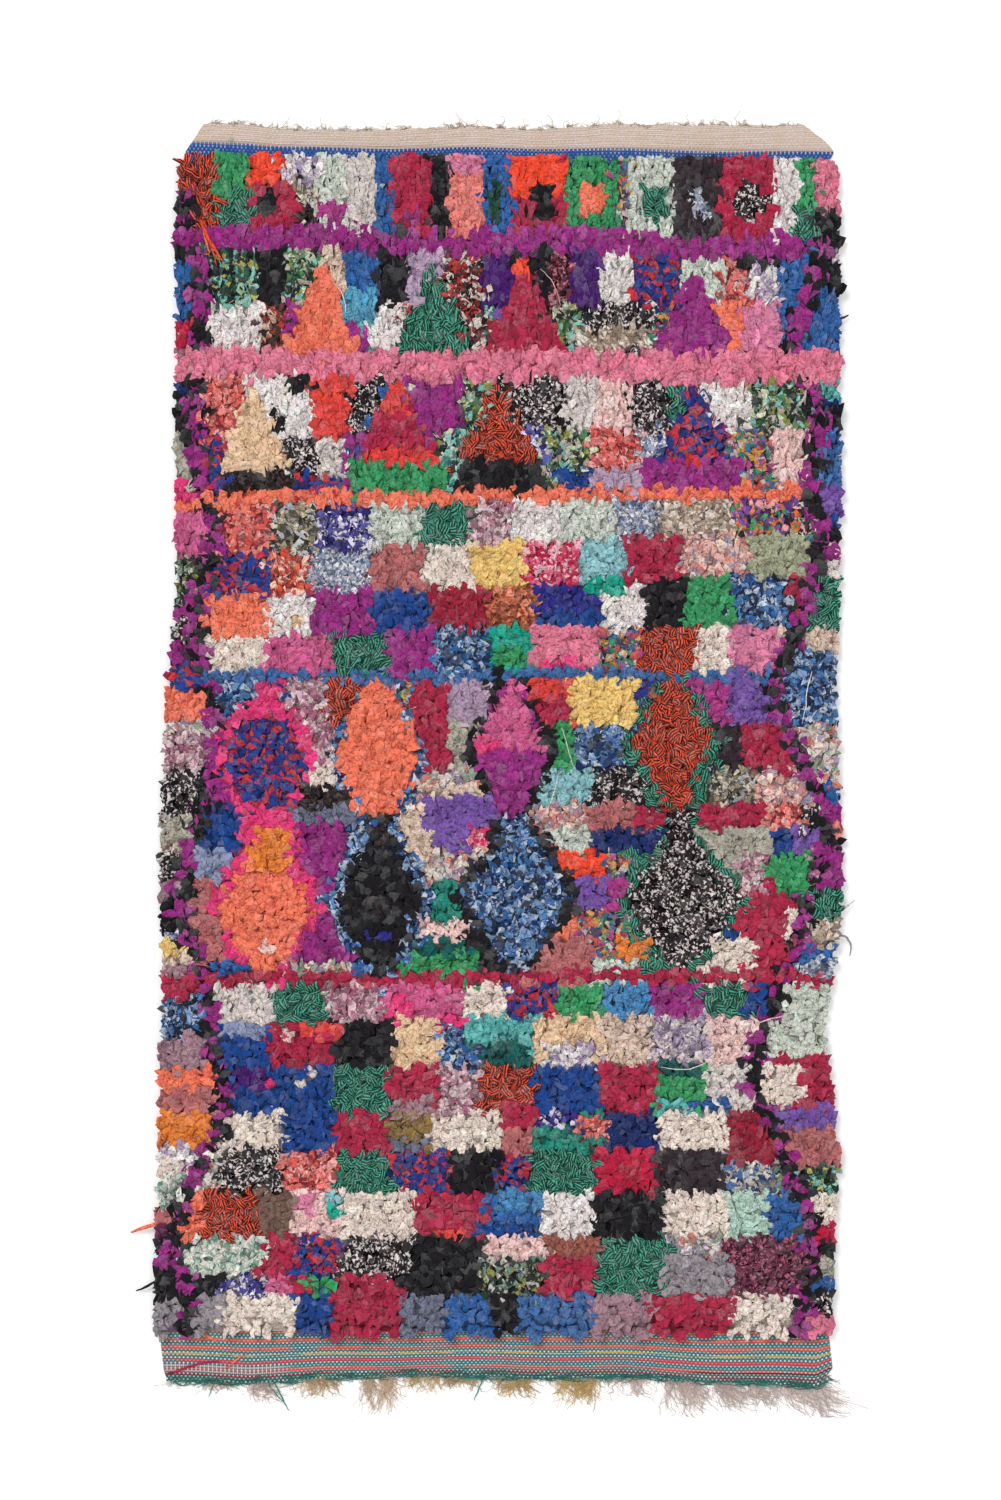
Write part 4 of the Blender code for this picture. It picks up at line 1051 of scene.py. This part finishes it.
# Loose rags and threads that stand out: each with its cloth, width and thickness in metres, and its
# path in centimetres as X, Y and height
Loose = namedtuple("Loose", "cloth width thick path")
LOOSE = (
    Loose("neon_red", 0.0060, 0.0014, ((-57.4, 107.6, 3.2), (-56.2, 104.4, 3.9), (-54.6, 101.6, 3.9),
                                       (-52.9, 99.4, 3.6))),
    Loose("red", 0.0040, 0.0014, ((-57.0, 106.8, 3.4), (-55.3, 103.2, 3.9), (-54.9, 100.9, 3.8),
                                  (-54.2, 98.6, 3.5))),
    Loose("orange", 0.0040, 0.0014, ((-57.0, 106.0, 3.2), (-56.4, 103.6, 3.8), (-55.6, 101.8, 3.8),
                                     (-55.6, 100.4, 3.5))),
    Loose("coral", 0.0090, 0.0022, ((-64.6, -89.4, 1.8), (-67.6, -90.2, 1.5), (-69.6, -91.4, 1.0),
                                    (-71.5, -91.9, 0.5))),
    Loose("black", 0.0060, 0.0018, ((-65.6, -100.9, 1.6), (-67.6, -102.0, 1.3), (-69.0, -103.0, 0.9),
                                    (-70.5, -103.5, 0.4))),
    Loose("grey", 0.0050, 0.0016, ((67.5, -33.6, 1.6), (69.6, -32.2, 1.4), (71.5, -34.6, 0.9),
                                   (70.6, -37.2, 0.6))),
    Loose("pale_grey", 0.0060, 0.0018, ((66.4, -29.2, 1.8), (68.8, -28.4, 1.5), (70.6, -27.2, 1.0),
                                        (71.6, -26.2, 0.6))),
    Loose("charcoal", 0.0060, 0.0018, ((66.9, 88.0, 1.8), (68.4, 88.4, 1.4), (69.6, 89.0, 0.9),
                                       (70.4, 89.4, 0.5))),
    Loose("cream", 0.0018, 0.0014, ((13.6, 7.9, 3.6), (14.6, 5.4, 3.9), (14.9, 2.8, 3.9),
                                    (16.0, -0.2, 3.6))),
    Loose("cream", 0.0018, 0.0014, ((13.0, -1.0, 3.6), (12.4, -4.4, 3.9), (11.4, -7.6, 3.9),
                                    (9.6, -10.4, 3.6))),
    Loose("cream", 0.0026, 0.0014, ((-31.3, 95.4, 3.5), (-29.6, 94.0, 3.9), (-28.6, 91.2, 3.9),
                                    (-28.9, 89.4, 3.5))),
    Loose("pale_pink", 0.0016, 0.0012, ((9.4, 98.0, 3.5), (11.9, 96.4, 3.9), (12.8, 93.2, 3.9),
                                        (13.4, 90.8, 3.6))),
    Loose("cream", 0.0022, 0.0014, ((33.2, -58.9, 3.5), (38.4, -60.2, 3.9), (41.0, -58.6, 3.9),
                                    (43.5, -57.0, 3.6))),
    Loose("pale_pink", 0.0030, 0.0014, ((51.8, -50.2, 3.5), (54.2, -49.6, 3.9), (56.4, -49.0, 3.8),
                                        (58.2, -48.6, 3.4))),
    Loose("white", 0.0022, 0.0014, ((62.8, 18.9, 3.5), (61.4, 15.2, 3.9), (61.9, 11.6, 3.9),
                                    (60.9, 8.6, 3.5))),
    Loose("teal", 0.0034, 0.0020, ((-44.6, -120.9, 0.35), (-43.9, -122.7, 0.15), (-42.6, -124.4, 0.15),
                                   (-41.5, -125.4, 0.15))),
    Loose("teal", 0.0034, 0.0020, ((-43.4, -121.0, 0.35), (-42.4, -123.2, 0.15), (-41.0, -126.0, 0.15),
                                   (-40.2, -127.2, 0.15))),
    Loose("teal", 0.0026, 0.0018, ((-54.9, -121.6, 0.30), (-55.3, -122.6, 0.15), (-55.9, -123.6, 0.15),
                                   (-56.2, -124.4, 0.15))),
    Loose("teal", 0.0030, 0.0020, ((-1.8, -120.1, 0.35), (-2.0, -122.0, 0.15), (-3.2, -123.6, 0.15),
                                   (-3.6, -125.2, 0.15))),
    Loose("crimson", 0.0056, 0.0024, ((-64.6, -120.0, 0.35), (-61.0, -118.9, 0.46),
                                      (-58.6, -117.6, 0.46), (-54.0, -117.4, 0.42))),
    Loose("coral", 0.0040, 0.0020, ((-52.8, -118.8, 0.40), (-51.2, -117.9, 0.50),
                                    (-50.4, -116.6, 0.50), (-48.8, -116.0, 0.42))),
    Loose("coral", 0.0060, 0.0020, ((-57.6, -111.6, 0.46), (-56.4, -112.4, 0.52),
                                    (-55.6, -113.0, 0.50), (-54.4, -113.6, 0.42))),
)


def eased(path, rings):
    """A smooth path of so many points through four given ones."""
    share = np.linspace(0, 1, rings)[:, None]
    points = np.array(path)
    low, high = points[:-1], points[1:]
    once = [a + (b - a) * share for a, b in zip(low, high)]
    twice = [a + (b - a) * share for a, b in zip(once[:-1], once[1:])]
    curve = twice[0] + (twice[1] - twice[0]) * share
    curve = curve + (points[-1] - curve[-1]) * share
    return curve


def loose_rags():
    """The odd long rags and threads, as one joined mesh of flat strips."""
    rings = 10
    rng = np.random.default_rng(59)
    paths = np.array([eased(loose.path, rings) for loose in LOOSE]) * CM
    paths[:, 1:-1, :2] += rng.normal(0, 0.0006, (len(LOOSE), rings - 2, 2))
    taper = np.concatenate((np.linspace(0.8, 1, rings // 2), np.linspace(1, 0.45, rings // 2)))
    width = np.array([loose.width for loose in LOOSE])[:, None] / 2 * taper
    thick = np.array([loose.thick for loose in LOOSE])[:, None] / 2 * taper
    dyes = np.array([CLOTHS[loose.cloth].dyes[0] for loose in LOOSE])
    return tubes("loose_rags", paths, width, thick, dyes, sides=6)


# Finishes

def node(tree, kind, inputs=(), **settings):
    """A new shader node. Each input is a plain value, or the socket that feeds it."""
    made = tree.nodes.new(kind)
    for name, value in settings.items():
        setattr(made, name, value)
    for key, value in dict(inputs).items():
        if isinstance(value, bpy.types.NodeSocket):
            tree.links.new(value, made.inputs[key])
        else:
            made.inputs[key].default_value = value
    return made


def maths(tree, operation, *values):
    """The result of a Math node on numbers or sockets."""
    return node(tree, "ShaderNodeMath", dict(enumerate(values)), operation=operation).outputs[0]


def smooth_step(tree, value, low, high, to_low=0.0, to_high=1.0):
    """A smooth ramp of a value between two limits."""
    inputs = {"Value": value, "From Min": low, "From Max": high, "To Min": to_low,
              "To Max": to_high}
    made = node(tree, "ShaderNodeMapRange", inputs, interpolation_type="SMOOTHSTEP")
    return made.outputs["Result"]


def mixed(tree, share, first, second, blend="MIX"):
    """One colour mixed into another by a share."""
    made = node(tree, "ShaderNodeMix", data_type="RGBA", blend_type=blend)
    sockets = [s for s in made.inputs if s.enabled]
    for socket, value in zip(sockets, (share, first, second)):
        if isinstance(value, bpy.types.NodeSocket):
            tree.links.new(value, socket)
        else:
            socket.default_value = value
    return next(s for s in made.outputs if s.enabled)


def noise(tree, place, scale, detail):
    """A noise over a place on the cloth."""
    return node(tree, "ShaderNodeTexNoise",
                {"Vector": place, "Scale": scale, "Detail": detail}).outputs["Fac"]


def stretched(tree, place, scale):
    """A place on the cloth, stretched along some of its axes."""
    return node(tree, "ShaderNodeMapping", {"Vector": place, "Scale": scale},
                vector_type="POINT").outputs[0]


def pushed(tree, place, scale, size):
    """A place on the cloth, pushed about by a noise, so that what is drawn there isn't straight."""
    drift = node(tree, "ShaderNodeTexNoise",
                 {"Vector": place, "Scale": scale, "Detail": 2.0}).outputs["Color"]
    return node(tree, "ShaderNodeVectorMath", {0: drift, 1: (size, size, size), 2: place},
                operation="MULTIPLY_ADD").outputs[0]


def group(name, inputs, outputs):
    """An empty node group with its named sockets, and its input and output nodes."""
    tree = bpy.data.node_groups.new(name, "ShaderNodeTree")
    for label, kind, value in inputs:
        socket = tree.interface.new_socket(label, in_out="INPUT", socket_type=kind)
        if value is not None:
            socket.default_value = value
    for label, kind in outputs:
        tree.interface.new_socket(label, in_out="OUTPUT", socket_type=kind)
    return tree, tree.nodes.new("NodeGroupInput").outputs, tree.nodes.new("NodeGroupOutput").inputs


def crease_group():
    """The creases of a torn rag, as a height and as a share of light that is left in them.

    Cut is a place on the cut cloth, in metres.
    """
    tree, given, result = group(
        "Rag Creases",
        (("Cut", "NodeSocketVector", None), ("Crease Size", "NodeSocketFloat", 0.007)),
        (("Height", "NodeSocketFloat"), ("Light", "NodeSocketFloat")))
    per_metre = maths(tree, "DIVIDE", 1.0, given["Crease Size"])
    bent = pushed(tree, given["Cut"], 130.0, 0.006)
    facets = node(tree, "ShaderNodeTexVoronoi", {"Vector": bent, "Scale": per_metre})
    border = node(tree, "ShaderNodeTexVoronoi", {"Vector": bent, "Scale": per_metre},
                  feature="DISTANCE_TO_EDGE").outputs["Distance"]
    line = smooth_step(tree, border, 0.0, 0.12, 1.0, 0.0)
    shown = smooth_step(tree, noise(tree, given["Cut"], 150.0, 1.0), 0.40, 0.58)
    crease = maths(tree, "MULTIPLY", line, shown)
    height = maths(tree, "MULTIPLY_ADD", facets.outputs["Distance"], -1.0,
                   maths(tree, "MULTIPLY", crease, -0.35))
    tree.links.new(height, result["Height"])
    tree.links.new(maths(tree, "MULTIPLY_ADD", crease, -0.46, 1.0), result["Light"])
    return tree


def shade_and_wear_group():
    """A rag's colour, with painted shade down at its knot and in its creases, and unevenly worn."""
    tree, given, result = group(
        "Rag Shade And Wear",
        (("Colour", "NodeSocketColor", None), ("Cut", "NodeSocketVector", None),
         ("Light", "NodeSocketFloat", 1.0), ("Root Shade", "NodeSocketFloat", 0.66),
         ("Patchiness", "NodeSocketFloat", 0.25)),
        (("Colour", "NodeSocketColor"),))
    along = node(tree, "ShaderNodeSeparateXYZ", {0: given["Cut"]}).outputs["Y"]
    # Painted shade: the colour darkens down towards the knot, to Root Shade there
    risen = smooth_step(tree, along, 0.004, 0.024)
    shade = maths(tree, "MULTIPLY_ADD", risen, maths(tree, "SUBTRACT", 1.0, given["Root Shade"]),
                  given["Root Shade"])
    blotch = maths(tree, "SUBTRACT", noise(tree, given["Cut"], 110.0, 3.0), 0.5)
    patch = maths(tree, "MULTIPLY_ADD", blotch, given["Patchiness"], 1.0)
    # The painted shade at the knot and in the creases, times the random wear patches
    whole = maths(tree, "MULTIPLY", maths(tree, "MULTIPLY", shade, patch), given["Light"])
    colour = node(tree, "ShaderNodeVectorMath", {0: given["Colour"], "Scale": whole},
                  operation="SCALE").outputs[0]
    tree.links.new(colour, result["Colour"])
    return tree


def stripe_group():
    """The stripes of a knitted cloth that run along the rag, as a mask."""
    tree, given, result = group(
        "Knitted Stripes",
        (("Cut", "NodeSocketVector", None), ("Pitch", "NodeSocketFloat", 0.0052),
         ("Dark Share", "NodeSocketFloat", 0.52)),
        (("Mask", "NodeSocketFloat"),))
    parts = node(tree, "ShaderNodeSeparateXYZ", {0: given["Cut"]}).outputs
    place = maths(tree, "DIVIDE", parts["X"], given["Pitch"])
    place = maths(tree, "FRACT", maths(tree, "ADD", maths(tree, "ADD", place, parts["Z"]), 50.0))
    off = maths(tree, "ABSOLUTE", maths(tree, "SUBTRACT", place, 0.5))
    half = maths(tree, "MULTIPLY", given["Dark Share"], 0.5)
    mask = smooth_step(tree, off, maths(tree, "SUBTRACT", half, 0.05),
                       maths(tree, "ADD", half, 0.05), 1.0, 0.0)
    tree.links.new(mask, result["Mask"])
    return tree


def fleck_group():
    """The flecks of a printed cloth: two masks, one for each print colour."""
    tree, given, result = group(
        "Printed Flecks",
        (("Cut", "NodeSocketVector", None), ("Fleck Size", "NodeSocketFloat", 0.006),
         ("First Share", "NodeSocketFloat", 0.28), ("Second Share", "NodeSocketFloat", 0.24)),
        (("First", "NodeSocketFloat"), ("Second", "NodeSocketFloat")))
    per_metre = maths(tree, "DIVIDE", 1.0, given["Fleck Size"])
    bent = pushed(tree, given["Cut"], 260.0, 0.005)
    spots = node(tree, "ShaderNodeTexVoronoi", {"Vector": bent, "Scale": per_metre})
    pick = node(tree, "ShaderNodeSeparateColor", {0: spots.outputs["Color"]}).outputs["Red"]
    first = maths(tree, "LESS_THAN", pick, given["First Share"])
    both = maths(tree, "ADD", given["First Share"], given["Second Share"])
    second = maths(tree, "MULTIPLY", maths(tree, "LESS_THAN", pick, both),
                   maths(tree, "SUBTRACT", 1.0, first))
    tree.links.new(first, result["First"])
    tree.links.new(second, result["Second"])
    return tree


GROUPS = {}


def placed(tree, name, **inputs):
    """One of the shared groups placed in a material; its outputs."""
    made = tree.nodes.new("ShaderNodeGroup")
    made.node_tree = GROUPS[name]
    for label, value in inputs.items():
        socket = made.inputs[label.replace("_", " ")]
        if isinstance(value, bpy.types.NodeSocket):
            tree.links.new(value, socket)
        else:
            socket.default_value = value
    return made.outputs


def blank_material(name):
    """A new material's node tree, emptied but for its output and shader."""
    finish = bpy.data.materials.new(name)
    finish.use_nodes = True
    return finish, finish.node_tree, finish.node_tree.nodes["Principled BSDF"].inputs


def attribute(tree, name):
    """A colour or vector kept on the mesh."""
    return node(tree, "ShaderNodeAttribute", attribute_name=name)


FLECKS = {"printed": 0.0052, "dappled": 0.0085, "mottled": 0.0120}


def rag_finish(name, weave, roughness, sheen, crease, depth, root_shade=0.70):
    """The cloth of one kind of rag, dyed by the colours kept on the mesh."""
    finish, tree, shader = blank_material(name)
    cut = attribute(tree, "cut").outputs["Vector"]
    colour = attribute(tree, "dye").outputs["Color"]
    creases = placed(tree, "creases", Cut=cut, Crease_Size=crease)
    height = creases["Height"]
    if weave == "striped":
        mask = placed(tree, "stripes", Cut=cut)["Mask"]
        colour = mixed(tree, mask, colour, attribute(tree, "print_one").outputs["Color"])
        height = maths(tree, "MULTIPLY_ADD", mask, -0.8, height)
    if weave in FLECKS:
        masks = placed(tree, "flecks", Cut=cut, Fleck_Size=FLECKS[weave])
        first = attribute(tree, "print_one").outputs["Color"]
        colour = mixed(tree, masks["First"], colour, first)
        second = attribute(tree, "print_two").outputs["Color"]
        colour = mixed(tree, masks["Second"], colour, second)
    # Painted shade down at the knot and in the creases, and random wear patches, over the dye
    colour = placed(tree, "shade_and_wear", Colour=colour, Cut=cut, Light=creases["Light"],
                    Root_Shade=root_shade)["Colour"]
    tree.links.new(colour, shader["Base Color"])
    bump = node(tree, "ShaderNodeBump", {"Height": height, "Strength": 0.8, "Distance": depth})
    tree.links.new(bump.outputs["Normal"], shader["Normal"])
    shader["Roughness"].default_value = roughness
    shader["Sheen Weight"].default_value = sheen
    shader["Sheen Roughness"].default_value = 0.5
    shader["Specular IOR Level"].default_value = 0.14
    return finish


def weft_colours(tree, level):
    """The foot band's weft colour at each level, as a ramp with hard steps."""
    low, high = -1.26, -1.05
    share = maths(tree, "DIVIDE", maths(tree, "SUBTRACT", level, low), high - low)
    ramp = node(tree, "ShaderNodeValToRGB", {"Fac": share})
    stops = ramp.color_ramp
    stops.interpolation = "CONSTANT"
    stops.elements[0].color = rgba(FOOT_WEFTS[-1][0])
    stops.elements[1].position = 0.999
    for (colour, _), (_, edge) in zip(FOOT_WEFTS[-2::-1], FOOT_WEFTS[:-1][::-1]):
        stop = stops.elements.new((edge * CM - low) / (high - low))
        stop.color = rgba(colour)
    return ramp.outputs["Color"]


def band(tree, value, middle, inner, outer, strength):
    """A soft band of so much strength round a middle value."""
    off = maths(tree, "ABSOLUTE", maths(tree, "SUBTRACT", value, middle))
    return smooth_step(tree, off, inner, outer, strength, 0.0)


Weave = namedtuple("Weave", "place x y wave level tick straight fray patch worn rib")


def ticks(tree, x, level):
    """The light ticks of warp that show between the wefts.

    Every other row is set over by half and fainter, so that the ticks still show from afar.
    """
    row = maths(tree, "FLOOR", maths(tree, "DIVIDE", level, PICK))
    shift = maths(tree, "MULTIPLY", maths(tree, "MODULO", maths(tree, "ADD", row, 1000.0), 2.0), 0.5)
    place_x = maths(tree, "DIVIDE", x, WARP_PITCH)
    across = maths(tree, "FRACT", maths(tree, "ADD", place_x, maths(tree, "ADD", shift, 500.0)))
    in_row = maths(tree, "FRACT", maths(tree, "ADD", maths(tree, "DIVIDE", level, PICK), 1000.0))
    tick = maths(tree, "MULTIPLY", band(tree, across, 0.5, 0.15, 0.25, 1.0),
                 band(tree, in_row, 0.5, 0.28, 0.40, 1.0))
    tick = maths(tree, "MULTIPLY", tick, maths(tree, "MULTIPLY_ADD", shift, -0.9, 1.0))
    straight = band(tree, maths(tree, "FRACT", maths(tree, "ADD", place_x, 500.0)), 0.5,
                    0.10, 0.20, 1.0)
    return tick, straight


def weave_masks(tree):
    """Where each point of the flat weave lies, and how its yarns show and wear there."""
    place = attribute(tree, "place").outputs["Vector"]
    parts = node(tree, "ShaderNodeSeparateXYZ", {0: place}).outputs
    x, y = parts["X"], parts["Y"]
    sines = [maths(tree, "SINE", maths(tree, "MULTIPLY_ADD", x, pitch, start))
             for pitch, start, _ in WEFT_WAVES]
    wave = maths(tree, "ADD", *(maths(tree, "MULTIPLY", sine, high)
                                for sine, (_, _, high) in zip(sines, WEFT_WAVES)))
    level = maths(tree, "SUBTRACT", y, wave)
    tick, straight = ticks(tree, x, level)
    fray = noise(tree, place, 240.0, 3.0)
    patch = noise(tree, stretched(tree, place, (1.0, 0.25, 1.0)), 60.0, 2.0)
    worn = smooth_step(tree, patch, 0.36, 0.58)
    rib = maths(tree, "ABSOLUTE", maths(tree, "SINE", maths(tree, "MULTIPLY", level, np.pi / PICK)))
    return Weave(place, x, y, wave, level, tick, straight, fray, patch, worn, rib)


def foot_colour(tree, weave):
    """The foot band: coloured wefts, worn and ended here and there, with the warp between them."""
    # The ticks bite into the edges of the coloured wefts
    bitten = maths(tree, "MULTIPLY_ADD", weave.fray, 0.0034,
                   maths(tree, "MULTIPLY_ADD", weave.tick, 0.0012, weave.level))
    wefts = weft_colours(tree, maths(tree, "SUBTRACT", bitten, 0.0022))
    dyes = node(tree, "ShaderNodeSeparateColor", {0: wefts}).outputs
    is_teal = maths(tree, "GREATER_THAN", dyes["Green"], dyes["Red"])
    # A coral or yellow weft ends here and there, and teal goes on in its place
    run = noise(tree, stretched(tree, weave.place, (0.10, 2.5, 1.0)), 90.0, 1.0)
    ended = maths(tree, "MULTIPLY", smooth_step(tree, run, 0.56, 0.61),
                  maths(tree, "SUBTRACT", 1.0, is_teal))
    wefts = mixed(tree, ended, wefts, rgba(TEAL))
    wefts = mixed(tree, smooth_step(tree, weave.patch, 0.52, 0.66, 0.0, 0.45), wefts,
                  rgba(WORN_TEAL))
    teal = maths(tree, "MAXIMUM", is_teal, ended)
    shown = maths(tree, "MULTIPLY", maths(tree, "MULTIPLY_ADD", teal, 0.55, 0.35),
                  maths(tree, "MULTIPLY", weave.tick,
                        maths(tree, "MULTIPLY_ADD", weave.worn, 0.3, 0.8)))
    # At the left a strip of the warp lies bare, and at the right there is one black weft
    at_left = maths(tree, "MULTIPLY", band(tree, weave.level, BARE_STRIP, 0.006, 0.009, 1.0),
                    smooth_step(tree, weave.x, -0.44, -0.38, 1.0, 0.0))
    wefts = mixed(tree, maths(tree, "MULTIPLY", at_left, 0.75), wefts, rgba(BARE_GROUND))
    bare = maths(tree, "MULTIPLY", maths(tree, "MULTIPLY", at_left, weave.straight), 0.8)
    at_right = maths(tree, "MULTIPLY", band(tree, weave.level, BLACK_WEFT, 0.0010, 0.0022, 0.9),
                     smooth_step(tree, weave.x, 0.36, 0.42))
    wefts = mixed(tree, at_right, wefts, rgba(BLACK_YARN))
    foot = mixed(tree, maths(tree, "MAXIMUM", shown, bare), wefts, rgba(WARP))
    # Painted shade: the colour darkens in the grooves between the rows of wefts
    return node(tree, "ShaderNodeVectorMath",
                {0: foot, "Scale": smooth_step(tree, weave.rib, 0.0, 0.6, 0.50, 1.0)},
                operation="SCALE").outputs[0]


def cream_colour(tree, weave, sloping):
    """The cream band, its thread lines fine and uneven, with one green stain at its left."""
    thread = maths(tree, "SINE", maths(tree, "MULTIPLY", sloping, 2 * np.pi / THREAD_PITCH))
    thread = maths(tree, "MULTIPLY_ADD", thread, 0.5, maths(tree, "MULTIPLY", weave.fray, 2.2))
    fleck = smooth_step(tree, thread, 0.7, 1.6, 0.0, 0.60)
    cream = mixed(tree, fleck, rgba(CREAM), rgba(CREAM_THREAD))
    aged = smooth_step(tree, weave.patch, 0.42, 0.62, 0.0, 0.35)
    cream = mixed(tree, aged, cream, rgba(AGED_CREAM))
    foot_line = band(tree, sloping, BLUE_BAND_TOP + 0.0030, 0.0010, 0.0030, 0.35)
    cream = mixed(tree, foot_line, cream, rgba(CREAM_FOOT))
    stain = node(tree, "ShaderNodeVectorMath", {0: weave.place, 1: STAIN_PLACE},
                 operation="DISTANCE")
    stained = smooth_step(tree, stain.outputs["Value"], 0.002, 0.011, 0.55, 0.0)
    return mixed(tree, stained, cream, rgba(STAIN_GREEN))


def head_colour(tree, weave):
    """The head: the cream band, and the blue band under it, with the warp between its wefts."""
    sloping = maths(tree, "MULTIPLY_ADD", weave.x, -HEAD_SLANT, weave.y)
    cream = cream_colour(tree, weave, sloping)
    blue_edge = maths(tree, "MULTIPLY_ADD", weave.straight, -0.0042, BLUE_BAND_TOP + 0.0012)
    blue_edge = maths(tree, "ADD", blue_edge, maths(tree, "MULTIPLY", weave.wave, 0.6))
    is_cream = maths(tree, "GREATER_THAN", sloping, blue_edge)
    shown = maths(tree, "MULTIPLY", weave.tick, maths(tree, "MULTIPLY_ADD", weave.worn, 0.4, 0.1))
    blue = mixed(tree, shown, rgba(BLUE), rgba(WARP))
    return mixed(tree, is_cream, blue, cream)


def weave_finish():
    """The flat-woven ground: cream at the head, a blue band, and the foot's coloured wefts."""
    finish, tree, shader = blank_material("flat_weave")
    weave = weave_masks(tree)
    at_head = maths(tree, "GREATER_THAN", weave.y, 0.0)
    colour = mixed(tree, at_head, foot_colour(tree, weave), head_colour(tree, weave))
    tree.links.new(colour, shader["Base Color"])
    dent = maths(tree, "MULTIPLY_ADD", weave.tick, -0.7, maths(tree, "MULTIPLY", weave.rib, 0.7))
    height = maths(tree, "MULTIPLY_ADD", weave.fray, 1.0, dent)
    height = maths(tree, "MULTIPLY_ADD", weave.patch, 2.5, height)
    bump = node(tree, "ShaderNodeBump", {"Height": height, "Strength": 0.8, "Distance": 0.0016})
    tree.links.new(bump.outputs["Normal"], shader["Normal"])
    shader["Roughness"].default_value = 0.95
    shader["Sheen Weight"].default_value = 0.10
    shader["Specular IOR Level"].default_value = 0.14
    return finish


def plain_finish(name, colour, roughness):
    """A plain matt surface for the studio floor."""
    finish, _, shader = blank_material(name)
    shader["Base Color"].default_value = (*colour, 1)
    shader["Roughness"].default_value = roughness
    shader["Emission Color"].default_value = (1, 1, 1, 1)
    shader["Emission Strength"].default_value = 0.16
    return finish


# The rug

def dress(piece, finish, node_name):
    """Gives a piece its material, hangs it under the root body and hides the CAD part it stands in for.
    """
    piece.data.materials.append(finish)
    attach(piece, "root")
    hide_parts(node_name)
    return piece


def make_groups():
    """The node groups that the materials share."""
    GROUPS["creases"] = crease_group()
    GROUPS["shade_and_wear"] = shade_and_wear_group()
    GROUPS["stripes"] = stripe_group()
    GROUPS["flecks"] = fleck_group()


def make_pile():
    """One joined mesh of rag ends for each ball of cloth."""
    finishes = {
        "plain": rag_finish("plain_rags", "plain", 0.9, 0.12, 0.0100, 0.0030),
        "pale": rag_finish("pale_cloth", "pale", 0.9, 0.12, 0.0085, 0.0030, 0.86),
        "striped": rag_finish("striped_knit", "striped", 0.9, 0.10, 0.010, 0.0014),
        "printed": rag_finish("printed_rags", "printed", 0.9, 0.10, 0.009, 0.0024),
        "dappled": rag_finish("dappled_rags", "dappled", 0.9, 0.12, 0.009, 0.0026),
        "mottled": rag_finish("mottled_rags", "mottled", 0.9, 0.12, 0.009, 0.0026),
    }
    ends = rag_ends()
    ball_of = np.array([CLOTHS[name].ball for name in CLOTH_NAMES])[ends.cloth]
    pieces = []
    for seed, (ball, (weave, _)) in enumerate(RAG_BALLS.items()):
        chosen = Ends(*(values[ball_of == ball] for values in ends))
        piece = rag_ball(ball, chosen, 100 + seed)
        pieces.append(dress(piece, finishes[weave], "rag_pile"))
    roots = dress(rag_roots(), finishes["plain"], "rag_pile")
    return pieces + [roots]


def make_studio():
    """A pale floor, soft light from above and the camera at the photograph's angle."""
    floor_mesh = bpy.data.meshes.new("floor")
    half = 6.0
    floor_mesh.from_pydata([(-half, -half, -0.0005), (half, -half, -0.0005),
                            (half, half, -0.0005), (-half, half, -0.0005)], [], [(0, 1, 2, 3)])
    floor = bpy.data.objects.new("floor", floor_mesh)
    floor_mesh.materials.append(plain_finish("floor_white", (0.93, 0.93, 0.93), 0.9))
    bpy.context.scene.collection.objects.link(floor)
    world = bpy.data.worlds.new("studio")
    world.use_nodes = True
    world.node_tree.nodes["Background"].inputs["Color"].default_value = (1, 1, 1, 1)
    world.node_tree.nodes["Background"].inputs["Strength"].default_value = 0.62
    bpy.context.scene.world = world
    for name, place, power, spread in (("key", (-1.6, 2.2, 3.0), 1.5, 0.45),
                                       ("fill", (2.2, -1.0, 3.0), 0.5, 0.9)):
        light = bpy.data.lights.new(name, "SUN")
        light.energy = power
        light.angle = spread
        lamp = bpy.data.objects.new(name, light)
        lamp.location = place
        lamp.rotation_euler = aim_down(place)
        bpy.context.scene.collection.objects.link(lamp)
    camera_data = bpy.data.cameras.new("camera")
    camera_data.lens = LENS
    camera_data.sensor_width = SENSOR
    camera = bpy.data.objects.new("camera", camera_data)
    camera.location = (*FRAME_MIDDLE, CAMERA_HIGH + FOCUS_HIGH)
    bpy.context.scene.collection.objects.link(camera)
    bpy.context.scene.camera = camera
    view = bpy.context.scene.view_settings
    view.view_transform = "Standard"


def aim_down(place):
    """The turn that points a lamp from its place at the middle of the rug."""
    return Vector((-place[0], -place[1], -place[2])).to_track_quat("-Z", "Y").to_euler()


make_groups()
yarn_finish = rag_finish("warp_yarn", "plain", 0.95, 0.3, 0.002, 0.0004)
pile = make_pile()
ground = dress(ground_cloth(), weave_finish(), "ground_weave")
fringe = dress(foot_fringe(), yarn_finish, "warp_fringe_foot")
frays = dress(head_frays(), yarn_finish, "warp_fringe_head")
roll = dress(foot_roll(), yarn_finish, "ground_weave")
strays = dress(loose_rags(), bpy.data.materials["plain_rags"], "rag_pile")
make_studio()
